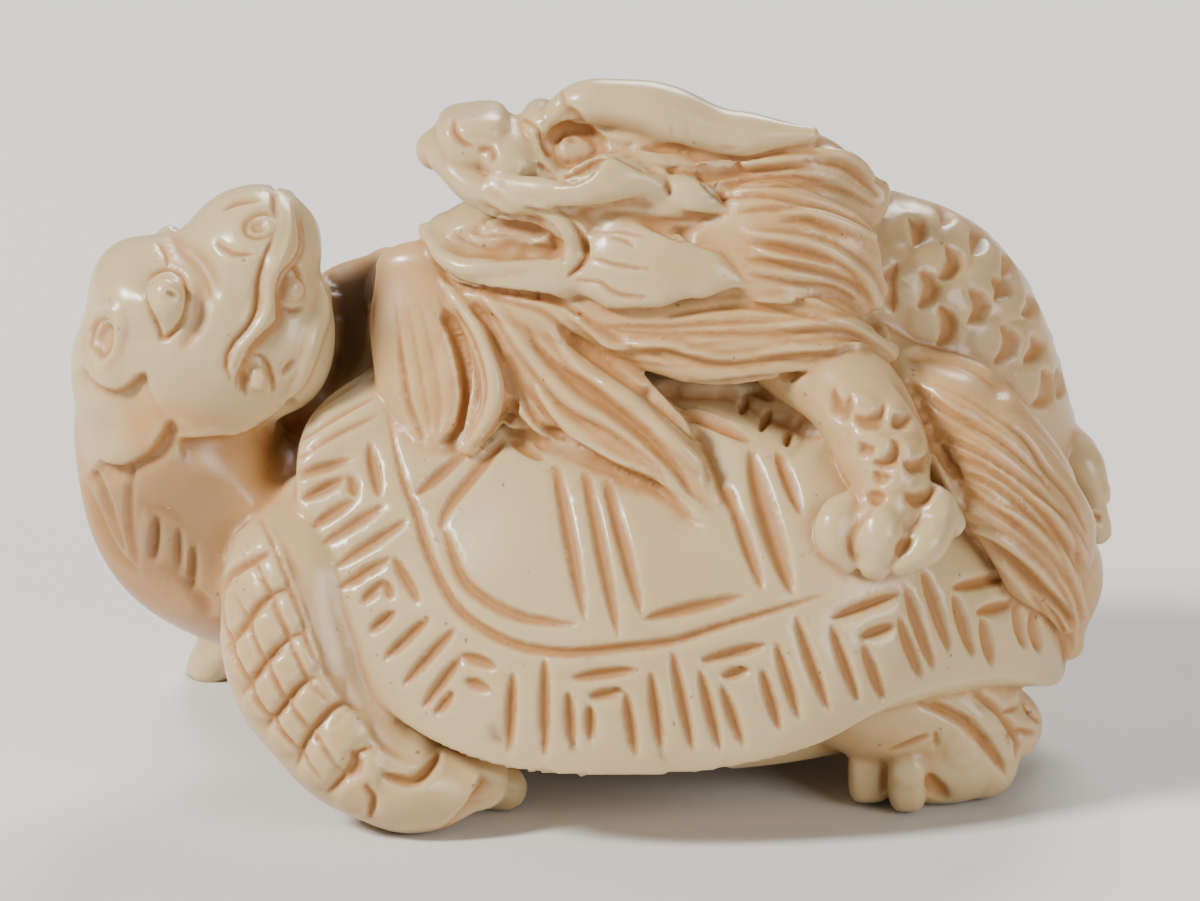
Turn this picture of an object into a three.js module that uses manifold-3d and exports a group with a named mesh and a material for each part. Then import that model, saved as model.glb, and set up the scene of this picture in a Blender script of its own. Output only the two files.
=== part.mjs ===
// A turtle netsuke with a dragon on its back, carved from one piece. Millimetres, +Z up.
// The turtle's nose points along -X, the side that is carved most richly faces -Y, and the origin
// is on the surface it stands on, below the middle of the carving.
import * as THREE from "three";
import { mergeVertices } from "three/addons/utils/BufferGeometryUtils.js";
import Module from "manifold-3d";

const wasm = await Module();
wasm.setup();

// Driving dimensions, in millimetres.
const TILT = THREE.MathUtils.degToRad(18); // the side elevation is drawn looking down by this much
const FOOT_Y = -12; // the near fore foot, where the drawing's height is measured from
const SHELL_TOP = 22; // the carapace's highest point
const SHELL_MIDDLE = 1; // the carapace's crown along X
const SHELL_FLARE = 1.15; // above 1, the carapace's wall leans in from its edge
const RIM_THICK = 1; // the carapace's edge
const BELLY_FLOOR = 2; // the plastron, above the surface it stands on
const TURTLE_FACE_Y = -3.5; // the middle plane of the turtle's head
const DRAGON_FACE_Y = -3; // the middle plane of the dragon's head
const DRAGON_LEAN = 0.3; // how much that plane leans over to the far side, as a slope
const CORD_HOLE_R = 1.6; // the two cord holes in the plastron
const CORD_HOLE_GAP = 9; // from one cord hole to the other
const IVORY = { color: 0xe9d9bd, roughness: 0.35, metalness: 0 };

// A point of the side elevation: u along the work, v up the drawing, y into the work.
const at = (u, v, y) =>
  new THREE.Vector3(u, y, (v - (y - FOOT_Y) * Math.sin(TILT)) / Math.cos(TILT));
const drawn = (list) => list.map((p) => at(...p));
const placed = (list) => list.map((p) => new THREE.Vector3(...p));
// The same points on the other side of a plane along the work at y, which can lean over.
const across = (list, y = 0, lean = 0) =>
  list.map((p) => new THREE.Vector3(p.x, 2 * y - p.y, p.z + 2 * lean * (p.y - y)));
const FAR = { facing: [0, 1, 0.3] }; // which way a flat form on the far side looks

const lerp = THREE.MathUtils.lerp;
const clamp = THREE.MathUtils.clamp;

// A closed three.js geometry as a manifold-3d solid, its faces pointing out.
function solid(geometry) {
  const bare = geometry.clone();
  for (const name of ["normal", "uv"]) bare.deleteAttribute(name);
  const merged = mergeVertices(bare, 1e-4);
  const vertProperties = new Float32Array(merged.attributes.position.array);
  const triVerts = new Uint32Array(merged.index.array);
  const make = () => new wasm.Manifold(new wasm.Mesh({ numProp: 3, vertProperties, triVerts }));
  const made = make();
  if (made.volume() >= 0) return made;
  for (let i = 0; i < triVerts.length; i += 3)
    [triVerts[i + 1], triVerts[i + 2]] = [triVerts[i + 2], triVerts[i + 1]];
  return make();
}

// Moves every vertex of a geometry by a function of its place.
function reshape(geometry, move) {
  const position = geometry.attributes.position;
  const p = new THREE.Vector3();
  for (let i = 0; i < position.count; i++) {
    p.fromBufferAttribute(position, i);
    const q = move(p);
    position.setXYZ(i, q.x, q.y, q.z);
  }
  return geometry;
}

// An egg: radii along X, Y and Z, and how far it leans over in the drawing, in degrees.
function egg(centre, radii, lean = 0, fine = 1) {
  const turn = new THREE.Euler(0, THREE.MathUtils.degToRad(-lean), 0);
  const scale = new THREE.Vector3(...radii);
  const ball = new THREE.SphereGeometry(1, Math.round(9 * fine), Math.round(6.4 * fine));
  return solid(reshape(ball, (p) => p.multiply(scale).applyEuler(turn).add(centre)));
}

// A number that runs smoothly through evenly spaced values.
function along(values, t) {
  const place = clamp(t, 0, 1) * (values.length - 1);
  const i = Math.min(Math.floor(place), values.length - 2);
  const f = place - i;
  return lerp(values[i], values[i + 1], f * f * (3 - 2 * f));
}

// A limb, lock or horn: a round bar bent along a curve, with its own radius at each point.
// flat squeezes it along facing, the way its broad side looks. Every other corner of its skin is
// raised by a share of the radius: scales raises them in turn, which makes scales, and flutes
// raises whole ridges, which makes strands. fringe draws the strands' ends out by that much.
function limb(path, radii, options = {}) {
  const { sides = 8, steps = 6, flat = 1, facing = [0, -1, 0.3] } = options;
  const { scales = 0, flutes = 0, fringe = 0 } = options;
  const curve = new THREE.CatmullRomCurve3(path, false, "centripetal");
  const broad = new THREE.Vector3(...facing);
  const bar = new THREE.CylinderGeometry(1, 1, 1, sides, steps);
  return solid(
    reshape(bar, (p) => {
      const t = clamp(p.y + 0.5, 0, 1);
      const tangent = curve.getTangentAt(t);
      const side = tangent.clone().cross(broad).normalize();
      const out = side.clone().cross(tangent);
      const corner = Math.round((Math.atan2(p.z, p.x) / (2 * Math.PI)) * sides);
      const ring = Math.round(t * steps);
      const scale = (corner + ring) % 2 && ring % steps ? scales : 0;
      const onRidge = Math.hypot(p.x, p.z) > 0.5 && corner % 2 === 0;
      const r = along(radii, t) * (1 + scale + (onRidge ? flutes : 0));
      return curve
        .getPointAt(t)
        .addScaledVector(side, p.x * r)
        .addScaledVector(out, p.z * r * flat)
        .addScaledVector(tangent, onRidge && ring === steps ? fringe : 0);
    }),
  );
}

// A tress: several strands carved as one flat leaf.
const tress = (path, radii, options = {}) =>
  limb(path, radii, { sides: 10, steps: 4, flat: 0.5, flutes: 0.3, fringe: 0.7, ...options });

// Locks of hair side by side, spread between a first and a last guide line.
function locks(first, last, count, radii) {
  const made = [];
  for (let k = 0; k < count; k++) {
    const share = k / Math.max(count - 1, 1);
    const path = first.map((p, i) => p.clone().lerp(last[i], share));
    made.push(limb(path, radii, { sides: 4, steps: 4 }));
  }
  return made;
}

const joined = (solids) => solids.reduce((a, b) => a.add(b));

// The carapace's lower edge, from the tail along the near side to the nape.
const RIM = placed([
  [22.6, 0, 6.2],
  [22.1, -4.5, 6],
  [19, -9.2, 8.1],
  [14.6, -12.4, 8.2],
  [10.5, -14.2, 6.3],
  [6, -15, 5.3],
  [0, -15.3, 5],
  [-5, -14.4, 5.4],
  [-9, -12.6, 7],
  [-11.8, -11, 10],
  [-13.3, -9.4, 13],
  [-14, -8, 16.2],
  [-13.6, -5.5, 18],
  [-11.5, -2.5, 19],
  [-10.4, 0, 19.2],
]);

const RIM_LOOP = new THREE.CatmullRomCurve3(
  [...RIM, ...across(RIM).slice(1, -1).reverse()],
  true,
  "centripetal",
);

// The carapace at a place of a unit ball: its equator is the rim, and its upper pole the crown.
function shellPoint(p) {
  const turn = Math.atan2(p.z, p.x) / (2 * Math.PI);
  const edge = RIM_LOOP.getPointAt((turn + 1) % 1);
  const out = Math.min(Math.hypot(p.x, p.z), 1);
  const over = p.y > -1e-6;
  const spread = over ? out ** SHELL_FLARE : out;
  const under = Math.min(1, -p.y * 1.4);
  return new THREE.Vector3(
    lerp(SHELL_MIDDLE, edge.x, spread),
    edge.y * spread,
    over ? lerp(edge.z, SHELL_TOP, p.y) : lerp(edge.z - RIM_THICK, BELLY_FLOOR + 3, under),
  );
}

function carapace() {
  return [solid(reshape(new THREE.SphereGeometry(1, 34, 10), shellPoint))];
}

// The grooves between the plates of the near half, as places on the carapace: degrees round it
// from the tail, and the share of the way up from its edge to its crown.
const GROOVES = {
  border: [
    [144, 0.45],
    [130, 0.39],
    [118, 0.28],
    [106, 0.2],
    [92, 0.19],
    [76, 0.22],
    [57, 0.24],
  ],
  leftPlate: [
    [115, 0.54],
    [118, 0.36],
    [108, 0.26],
    [93, 0.24],
    [101, 0.54],
  ],
  seam: [
    [95, 0.52],
    [87, 0.22],
  ],
  rightPlate: [
    [89, 0.49],
    [84, 0.25],
    [68, 0.26],
    [66, 0.48],
  ],
  lastSeam: [
    [58, 0.54],
    [60, 0.25],
  ],
};
const GROOVE_R = 0.5; // half the width of a groove at the skin
const FAR_GROOVES = ["border", "leftPlate", "lastSeam"]; // the coils cover the others

function plateGrooves() {
  const onShell = ([turn, rise]) => {
    const around = THREE.MathUtils.degToRad(turn);
    const up = (rise * Math.PI) / 2;
    const out = Math.cos(up);
    return shellPoint(
      new THREE.Vector3(Math.cos(around) * out, Math.sin(up), Math.sin(around) * out),
    );
  };
  const made = [];
  for (const [name, places] of Object.entries(GROOVES)) {
    const path = places.map(onShell);
    const options = { sides: 4, steps: Math.round(path.length * 1.4) - 1 };
    const radii = [GROOVE_R, GROOVE_R];
    made.push(limb(path, radii, options));
    if (FAR_GROOVES.includes(name)) made.push(limb(across(path), radii, { ...options, ...FAR }));
  }
  return made;
}

function plastron() {
  const ball = new THREE.SphereGeometry(1, 16, 8);
  return [
    solid(
      reshape(ball, (p) => {
        const z = 9.5 + p.y * (p.y < 0 ? 11 : 8);
        return new THREE.Vector3(2 + p.x * 18, p.z * 12, Math.max(z, BELLY_FLOOR));
      }),
    ),
  ];
}

// A paw: toes side by side, carved as one flat bar that widens to their claws.
const paw = (path, width, options = {}) =>
  limb(path, [width * 0.6, width, width * 0.9], {
    sides: 10,
    steps: 3,
    flat: 0.55,
    flutes: 0.4,
    fringe: 0.8,
    ...options,
  });

function turtleLegs() {
  const fore = drawn([
    [-13, 15.4, -6],
    [-14.2, 12, -8.2],
    [-13.6, 7.6, -9.6],
    [-11.2, 4.1, -10.8],
    [-8, 2.4, -11.4],
    [-5.4, 2.7, -11.4],
  ]);
  const backToe = drawn([
    [-9, 3.4, -9.4],
    [-6.2, 2.8, -8.6],
    [-4.2, 2.2, -8.4],
  ]);
  const farFore = placed([
    [-11, 7, 11],
    [-14.4, 9, 6],
    [-16.6, 11, 3.6],
    [-17.2, 11.6, 2.6],
  ]);
  const farPaw = placed([
    [-15.6, 10.6, 4.4],
    [-17.4, 12, 2],
    [-18.4, 12.6, 0.3],
  ]);
  const hind = drawn([
    [10.5, 7.5, -6],
    [15, 6.5, -6.9],
    [18, 5.6, -6.4],
    [19.6, 5.2, -5.6],
  ]);
  const hindPaw = drawn([
    [17.4, 5.4, -6.6],
    [16.8, 3.2, -7.2],
    [16, 1.5, -7.6],
  ]);
  const hindBulk = [3, 3.4, 2.9, 1.8];
  const skin = { sides: 8, steps: 5, scales: 0.06 };
  const look = { facing: [0.5, -1, 0.2] };
  const farLook = { facing: [0.5, 1, 0.2] };
  return [
    limb(fore, [2, 3.3, 3.6, 3.1, 2.6, 1.5], { sides: 10, steps: 8, scales: 0.05 }),
    limb(backToe, [2.2, 1.9, 1.1], { sides: 6, steps: 3 }),
    limb(farFore, [3.6, 3.3, 2.2, 1.4], skin),
    paw(farPaw, 2.2, { facing: [-1, 0.2, 0.4] }),
    limb(hind, hindBulk, skin),
    paw(hindPaw, 3.5, look),
    limb(across(hind), hindBulk, { ...skin, ...FAR }),
    paw(across(hindPaw), 3.5, farLook),
  ];
}

function turtleHead() {
  const neck = drawn([
    [-8, 14, 0],
    [-14, 13.8, -1],
    [-18.4, 15.4, -2.2],
    [-19.8, 19.5, -3],
    [-18.8, 23.4, TURTLE_FACE_Y],
  ]);
  const face = (u, v) => at(u, v, TURTLE_FACE_Y);
  const eye = [at(-20, 25.3, TURTLE_FACE_Y - 4.2)];
  return [
    limb(neck, [5.4, 5.8, 5.5, 4.9, 4.2], { sides: 11, steps: 6 }),
    egg(face(-18.3, 23.8), [6, 4.6, 5.2], 10, 1.2),
    egg(face(-16.2, 27.5), [3.6, 3.8, 3.2], 35, 1.1),
    egg(face(-15.2, 24.2), [3, 4, 4.4], 10, 1),
    egg(face(-21.3, 25.6), [2.6, 4.1, 2.7], 30, 0.9),
    egg(face(-22.6, 22), [2.2, 3.9, 3.4], 0, 0.9),
    egg(face(-21.8, 19.2), [2.6, 3.8, 2], 20, 0.8),
    ...[...eye, ...across(eye, TURTLE_FACE_Y)].map((p) => egg(p, [1, 0.9, 1.3], 20, 0.6)),
  ];
}

// A form on the near half of the dragon's head, and the same on its far half.
const paired = (path, radii, options = {}) => [
  limb(path, radii, options),
  limb(across(path, DRAGON_FACE_Y, DRAGON_LEAN), radii, { ...options, ...FAR }),
];

function dragonHead() {
  const face = (u, v) => at(u, v, DRAGON_FACE_Y);
  const horn = drawn([
    [-2.6, 33.2, -4],
    [-0.9, 34.5, -4.2],
    [2.2, 34.4, -4.4],
    [6, 33.2, -4.6],
    [10.3, 33.1, -4.8],
  ]);
  const lip = drawn([
    [-7.2, 31.9, -4.2],
    [-5.2, 30.3, -5.4],
    [-2.4, 29.5, -6],
    [-0.8, 28.4, -6.4],
    [-1.2, 26.9, -6.4],
  ]);
  const cheek = drawn([
    [-4.6, 30.9, -6],
    [-0.6, 30.6, -7],
    [3.4, 30.8, -7],
  ]);
  const jaw = drawn([
    [1.2, 26.8, -6.6],
    [-2.6, 26.3, -6.4],
    [-6.2, 26.9, -5.4],
    [-8.2, 29, -4],
  ]);
  const frill = drawn([
    [-0.8, 27.6, -6.8],
    [2, 27.5, -7.6],
    [5.2, 27, -8.2],
    [7.1, 26, -8.2],
  ]);
  const muzzle = drawn([
    [2, 31.4, DRAGON_FACE_Y],
    [-2, 31.7, DRAGON_FACE_Y],
    [-5.2, 32.1, DRAGON_FACE_Y],
    [-7.4, 32.4, DRAGON_FACE_Y],
  ]);
  const chin = drawn([
    [3, 27.4, DRAGON_FACE_Y],
    [-2, 26.6, DRAGON_FACE_Y],
    [-6, 27, DRAGON_FACE_Y],
  ]);
  const eye = [at(-0.7, 32.4, DRAGON_FACE_Y - 3.1)];
  const eyes = [...eye, ...across(eye, DRAGON_FACE_Y, DRAGON_LEAN)];
  const ridge = { sides: 4, steps: 4 };
  return [
    egg(at(6.6, 27, -2), [7.6, 5.6, 4.8], -8, 1.2),
    egg(face(2.8, 30.6), [6.2, 4.2, 3.4], -6, 1.1),
    limb(muzzle, [3.2, 2.7, 2.1, 1], { sides: 8, steps: 5 }),
    egg(face(-4.9, 33.2), [1.9, 2.6, 1.4], 0, 0.9),
    limb(chin, [3.8, 2.7, 1.8], { sides: 8, steps: 4, flat: 0.9 }),
    ...eyes.map((p) => egg(p, [1.2, 0.9, 1.1], 0, 0.6)),
    ...paired(horn, [0.5, 1.1, 1.4, 1.1, 0.4], { sides: 6, steps: 6 }),
    ...paired(lip, [0.6, 0.8, 0.9, 0.8, 0.3], ridge),
    ...paired(cheek, [0.5, 1, 0.4], { sides: 4, steps: 2 }),
    ...paired(jaw, [0.8, 1, 0.9, 0.4], ridge),
    ...paired(frill, [1, 1.9, 1.7, 0.2], { sides: 6, steps: 4, flat: 0.4 }),
  ];
}

function dragonBody() {
  const spine = [
    at(7, 26.5, -1),
    at(12, 26.2, 0),
    at(15.6, 25.2, 0.6),
    at(17.9, 21.4, 1.6),
    at(19.2, 17.4, 4.2),
    ...placed([
      [17.5, 9, 12.5],
      [11, 11.4, 12.5],
      [3, 12.2, 13],
      [-4, 11, 14.5],
      [-8.5, 8, 17.5],
    ]),
  ];
  const bulk = [4, 4.6, 4.6, 4.2, 3.8, 3.4, 3, 2.6, 1.8, 0.5];
  return [limb(spine, bulk, { sides: 9, steps: 18, scales: 0.06 })];
}

function mane() {
  const low = drawn([
    [0, 25, -6.8],
    [5.5, 24.1, -7.4],
    [10.5, 24, -7.4],
    [14, 23.4, -6.4],
  ]);
  const middle = drawn([
    [5, 28, -6.4],
    [8.6, 28, -6.9],
    [11.8, 27.4, -6.4],
    [13.6, 26.4, -5.6],
  ]);
  const top = drawn([
    [7.2, 31.6, -3.4],
    [10.4, 31.4, -4],
    [13.2, 30.6, -3.4],
  ]);
  const plane = DRAGON_FACE_Y + 1;
  const made = [];
  for (const [path, radii] of [
    [low, [1.2, 1.9, 1.9, 1.2]],
    [middle, [1.6, 2.2, 2.2, 1.4]],
    [top, [1, 1.6, 0.9]],
  ])
    made.push(tress(path, radii), tress(across(path, plane, DRAGON_LEAN), radii, FAR));
  return made;
}

function beard() {
  const lock = [0.6, 1.1, 1, 0.3];
  return [
    ...locks(
      drawn([
        [-7.9, 27.1, -4.6],
        [-9.7, 24.5, -4.6],
        [-10.2, 21.4, -6],
        [-9.2, 18.4, -8.2],
      ]),
      drawn([
        [-6.2, 25.8, -6.2],
        [-4.9, 23, -8.6],
        [-4.5, 20.4, -10.2],
        [-6.2, 18.2, -10.8],
      ]),
      5,
      lock,
    ),
    ...locks(
      drawn([
        [-5.2, 24.8, -6.8],
        [-3.4, 21.8, -9],
        [-0.5, 18.9, -10.4],
        [2.6, 16.4, -11.3],
      ]),
      drawn([
        [-2.4, 25, -7],
        [1, 22.5, -8.6],
        [4, 19.5, -9.8],
        [6.2, 15.6, -11.4],
      ]),
      4,
      lock,
    ),
    tress(
      drawn([
        [-6.6, 26.8, -1.6],
        [-9.4, 26.4, 1],
        [-11.2, 24.8, 4],
      ]),
      [1.2, 2, 1],
      { facing: [-0.6, 0, 1] },
    ),
  ];
}

function turtleTail() {
  const root = drawn([
    [13.4, 22.6, -4.6],
    [17.2, 19.2, -5.4],
    [20.1, 15.2, -5],
    [22.2, 11.8, -3.8],
    [22.6, 9, -2.8],
  ]);
  const near = drawn([
    [14.6, 20.6, -6.4],
    [18.3, 18, -7.8],
    [21, 14.6, -7.4],
    [22.8, 10.2, -4.6],
  ]);
  const far = drawn([
    [18, 14.4, 2.4],
    [21, 11.4, 3],
    [22.4, 9, 3],
  ]);
  return [
    limb(root, [1.5, 3.2, 3.4, 2.4, 0.8], { sides: 8, steps: 5 }),
    tress(near, [1.4, 2.8, 2.9, 1], { sides: 14, steps: 5, facing: [0.5, -1, 0.4] }),
    tress(far, [2.4, 3, 1.6], { flat: 0.4, facing: [1, 0.5, 0.4] }),
  ];
}

function dragonPaws() {
  const fore = drawn([
    [9.6, 23, -5.6],
    [12.4, 20.6, -7.8],
    [13.9, 17.2, -9.8],
    [13.9, 15.2, -10.8],
  ]);
  const claws = drawn([
    [13.9, 16.4, -10],
    [14, 14.4, -11.8],
    [14.1, 12.7, -12.2],
  ]);
  const farFore = placed([
    [5, 4, 24],
    [4, 7.6, 22],
    [-1, 10, 18.4],
    [-4, 11.4, 15.6],
  ]);
  const farClaws = placed([
    [-2.8, 11.4, 16.6],
    [-4.8, 12.6, 14.6],
    [-5.8, 13, 12.8],
  ]);
  const rear = drawn([
    [16.5, 20, 3.6],
    [20, 19.2, 3],
    [22.6, 17.6, 2.4],
  ]);
  const rearClaws = drawn([
    [22, 17.8, 2.6],
    [23.4, 15.4, 2],
    [23.6, 13.6, 1.6],
  ]);
  const skin = { sides: 8, steps: 5, scales: 0.07 };
  return [
    limb(fore, [2.4, 2.3, 2.2, 1.6], skin),
    paw(claws, 2.7),
    limb(farFore, [2.2, 2.2, 2, 1.4], { ...skin, ...FAR }),
    paw(farClaws, 2.4, FAR),
    limb(rear, [2.6, 2.3, 1.7], { sides: 7, steps: 3 }),
    paw(rearClaws, 2, { facing: [1, 0, 0.4] }),
  ];
}

// A bent tunnel between two holes in the plastron, for the cord that the toggle hangs on.
function cordTunnel() {
  const half = CORD_HOLE_GAP / 2;
  const path = placed([
    [-half, 0, BELLY_FLOOR - 2],
    [-half * 0.8, 0, BELLY_FLOOR + 1.6],
    [0, 0, BELLY_FLOOR + 3.6],
    [half * 0.8, 0, BELLY_FLOOR + 1.6],
    [half, 0, BELLY_FLOOR - 2],
  ]);
  return limb(path, [CORD_HOLE_R, CORD_HOLE_R], { sides: 8, steps: 5 });
}

function floorBlock() {
  const size = 80;
  return solid(new THREE.BoxGeometry(size, size, size).translate(0, 0, -size / 2));
}

const carving = joined([
  ...carapace(),
  ...plastron(),
  ...turtleLegs(),
  ...turtleHead(),
  ...turtleTail(),
  ...dragonBody(),
])
  .subtract(joined(plateGrooves()))
  .add(joined([...dragonHead(), ...mane(), ...beard(), ...dragonPaws()]))
  .subtract(cordTunnel())
  .subtract(floorBlock());

const mesh = carving.getMesh();
const geometry = new THREE.BufferGeometry()
  .setAttribute("position", new THREE.BufferAttribute(mesh.vertProperties, 3))
  .setIndex(new THREE.BufferAttribute(mesh.triVerts, 1));
geometry.computeVertexNormals();

const netsuke = new THREE.Mesh(geometry, new THREE.MeshStandardMaterial(IVORY));
netsuke.name = "netsuke";

const group = new THREE.Group();
group.add(netsuke);
export default group;
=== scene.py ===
"""A turtle netsuke with a dragon on its back, in carved and polished ivory.

The whole work is one piece. It is shaped here as a carver would: the masses are set out and joined
into one block, softened, cut with gouges and gravers, rubbed with stain and polished. Shapes are
worked out in millimetres in the part's own frame and turned to metres at the very end.
"""

import logging
import math
from dataclasses import dataclass, field
from enum import Enum

import bmesh
import bpy
import numpy as np
from mathutils import Matrix, Vector, kdtree


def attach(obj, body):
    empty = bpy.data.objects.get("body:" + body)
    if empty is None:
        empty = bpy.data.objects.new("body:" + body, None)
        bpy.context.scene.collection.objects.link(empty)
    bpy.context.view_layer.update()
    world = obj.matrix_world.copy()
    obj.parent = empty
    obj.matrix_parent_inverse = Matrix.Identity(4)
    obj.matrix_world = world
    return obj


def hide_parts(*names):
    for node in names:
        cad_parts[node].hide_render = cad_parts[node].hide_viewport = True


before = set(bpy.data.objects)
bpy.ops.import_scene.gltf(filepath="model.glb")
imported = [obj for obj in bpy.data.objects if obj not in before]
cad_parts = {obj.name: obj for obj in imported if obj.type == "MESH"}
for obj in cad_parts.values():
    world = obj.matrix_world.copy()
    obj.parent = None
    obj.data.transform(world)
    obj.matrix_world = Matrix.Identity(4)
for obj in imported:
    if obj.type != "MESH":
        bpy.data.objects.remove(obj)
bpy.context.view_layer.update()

log = logging.getLogger("netsuke")

MM = 0.001
Point = tuple[float, float, float]
Spot = tuple[float, float]
Tree = bpy.types.NodeTree
Socket = bpy.types.NodeSocket

# The ways that the broad side of a near and of a far form looks.
NEAR = (0.0, -1.0, 0.3)
FAR = (0.0, 1.0, 0.3)

# The marks on the skin that the finish reads: stain, painted shade and warmth.
LAYERS = ("stain", "dark", "warm")

# The numbers of a mix node's colour sockets, whose names aren't their own.
SHARE = 0
LOWER = 6
UPPER = 7
MIXED = 2


class Region(Enum):
    """The parts of the carving that are cut in different ways."""

    SHELL = 1
    BELLY = 2
    TURTLE_LEG = 3
    TURTLE_FACE = 4
    NECK = 5
    TAIL = 6
    DRAGON_BODY = 7
    DRAGON_FACE = 8
    HAIR = 9
    DRAGON_LEG = 10
    CLAW = 11


TINT_AND_NECK_SHADE = {
    Region.SHELL: 0.12,
    Region.BELLY: 0.3,
    Region.TURTLE_LEG: 0.45,
    Region.TURTLE_FACE: 0.1,
    # The neck's strong warmth partly paints the shade under the head.
    Region.NECK: 0.95,
    Region.TAIL: 0.7,
    Region.DRAGON_BODY: 0.5,
    Region.DRAGON_FACE: 0.2,
    Region.HAIR: 0.75,
    Region.DRAGON_LEG: 0.6,
    Region.CLAW: 0.15,
}


@dataclass(frozen=True)
class Drawing:
    """The side elevation that the work is set out on, seen from a little above the horizon."""

    tilt: float = math.radians(18)
    foot_y: float = -12.0

    def at(self, u: float, v: float, y: float) -> Point:
        """A place in the work.

        Args:
            u: Millimetres along the drawing.
            v: Millimetres up the drawing.
            y: Depth into the work.

        Returns:
            The place as x, y, z.
        """
        return (u, y, (v - (y - self.foot_y) * math.sin(self.tilt)) / math.cos(self.tilt))

    def path(self, points: list[Point]) -> "Path":
        """A path through places given as u, v and depth."""
        return Path([self.at(*p) for p in points])

    def seen(self, places: np.ndarray) -> np.ndarray:
        """Where places of the work fall on the drawing, as u and v."""
        v = places[:, 2] * math.cos(self.tilt) + (places[:, 1] - self.foot_y) * math.sin(self.tilt)
        return np.stack([places[:, 0], v], axis=1)

    def eye(self) -> np.ndarray:
        """The direction from the work to the eye."""
        return np.array([0.0, -math.cos(self.tilt), math.sin(self.tilt)])


DRAWING = Drawing()


class Path:
    """A smooth curve through a few points, measured along its length."""

    def __init__(self, points: list[Point], closed: bool = False, fine: int = 400) -> None:
        """Sets out the curve.

        Args:
            points: The points it runs through.
            closed: True if it comes back to its first point.
            fine: How many short steps its length is measured in.
        """
        self.points = np.array(points, dtype=float)
        self.closed = closed
        steps = np.linspace(0.0, 1.0, fine + 1)
        runs = np.linalg.norm(np.diff(self._raw(steps), axis=0), axis=1)
        gone = np.concatenate([[0.0], np.cumsum(runs)])
        self.length = float(gone[-1])
        self._steps = steps
        self._shares = gone / gone[-1]

    def _raw(self, t: np.ndarray) -> np.ndarray:
        """Centripetal Catmull-Rom points, before they are measured along the curve.

        Args:
            t: How far to go, from nothing to one, with the same share for every control point.

        Returns:
            The points.
        """
        control = self.points
        count = len(control)
        if self.closed:
            place = t * count
            i = np.floor(place).astype(int)
            w = (place - i)[:, None]
            p0, p1, p2, p3 = (control[(i + k) % count] for k in (-1, 0, 1, 2))
        else:
            place = t * (count - 1)
            i = np.minimum(np.floor(place).astype(int), count - 2)
            w = (place - i)[:, None]
            ends = np.vstack([2 * control[0] - control[1], control, 2 * control[-1] - control[-2]])
            p0, p1, p2, p3 = (ends[i + k] for k in (0, 1, 2, 3))
        a, b, c = (self._gap(m, n) for m, n in ((p0, p1), (p1, p2), (p2, p3)))
        t1 = ((p1 - p0) / a - (p2 - p0) / (a + b) + (p2 - p1) / b) * b
        t2 = ((p2 - p1) / b - (p3 - p1) / (b + c) + (p3 - p2) / c) * b
        cubic = (2 * p1 - 2 * p2 + t1 + t2) * w**3
        return p1 + t1 * w + (-3 * p1 + 3 * p2 - 2 * t1 - t2) * w**2 + cubic

    @staticmethod
    def _gap(a: np.ndarray, b: np.ndarray) -> np.ndarray:
        """The root of the distance between points, never nothing."""
        return np.maximum(np.sqrt(np.linalg.norm(a - b, axis=1)), 1e-3)[:, None]

    def at(self, share: np.ndarray) -> np.ndarray:
        """Points at shares of the length."""
        share = np.atleast_1d(np.clip(share, 0.0, 1.0))
        return self._raw(np.interp(share, self._shares, self._steps))

    def heading(self, share: np.ndarray) -> np.ndarray:
        """The direction of the curve at shares of the length."""
        ahead = self.at(np.clip(share + 2e-3, 0, 1)) - self.at(np.clip(share - 2e-3, 0, 1))
        return ahead / np.linalg.norm(ahead, axis=1, keepdims=True)


def across(points: list[Point], plane: float = 0.0, lean: float = 0.0) -> list[Point]:
    """The same points on the other side of a plane along the work.

    Args:
        points: Places as x, y, z.
        plane: The plane's y.
        lean: How far the plane leans to the far side, as a slope.

    Returns:
        The mirrored places.
    """
    return [(x, 2 * plane - y, z + 2 * lean * (y - plane)) for x, y, z in points]


def smooth(share: np.ndarray) -> np.ndarray:
    """A share from nothing to one that starts and ends gently."""
    return share * share * (3 - 2 * share)


def eased(values: tuple[float, ...], t: np.ndarray) -> np.ndarray:
    """A number that runs smoothly through evenly spaced values.

    Args:
        values: The values.
        t: How far along them to go, from nothing to one.

    Returns:
        The numbers.
    """
    place = np.clip(t, 0, 1) * (len(values) - 1)
    i = np.minimum(place.astype(int), len(values) - 2)
    f = smooth(place - i)
    array = np.array(values)
    return array[i] * (1 - f) + array[i + 1] * f


def drawn(text: str) -> tuple[tuple[Spot, ...], ...]:
    """Reads lines of the drawing.

    Args:
        text: Each line as its points, u and v with a comma, with a slash between two lines.

    Returns:
        The lines.
    """
    rows = [[point.split(",") for point in row.split()] for row in text.split("/")]
    return tuple(tuple((float(u), float(v)) for u, v in row) for row in rows)


def fan(guides: str, count: int) -> tuple[tuple[Spot, ...], ...]:
    """Lines side by side between two guide lines, both left out.

    Args:
        guides: The guide lines, as drawn reads them, each with as many points.
        count: How many lines lie between them.

    Returns:
        The lines.
    """
    start, end = (np.array(guide) for guide in drawn(guides))
    shares = np.linspace(0, 1, count + 2)[1:-1]
    return tuple(tuple(map(tuple, start + (end - start) * share)) for share in shares)


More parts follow.
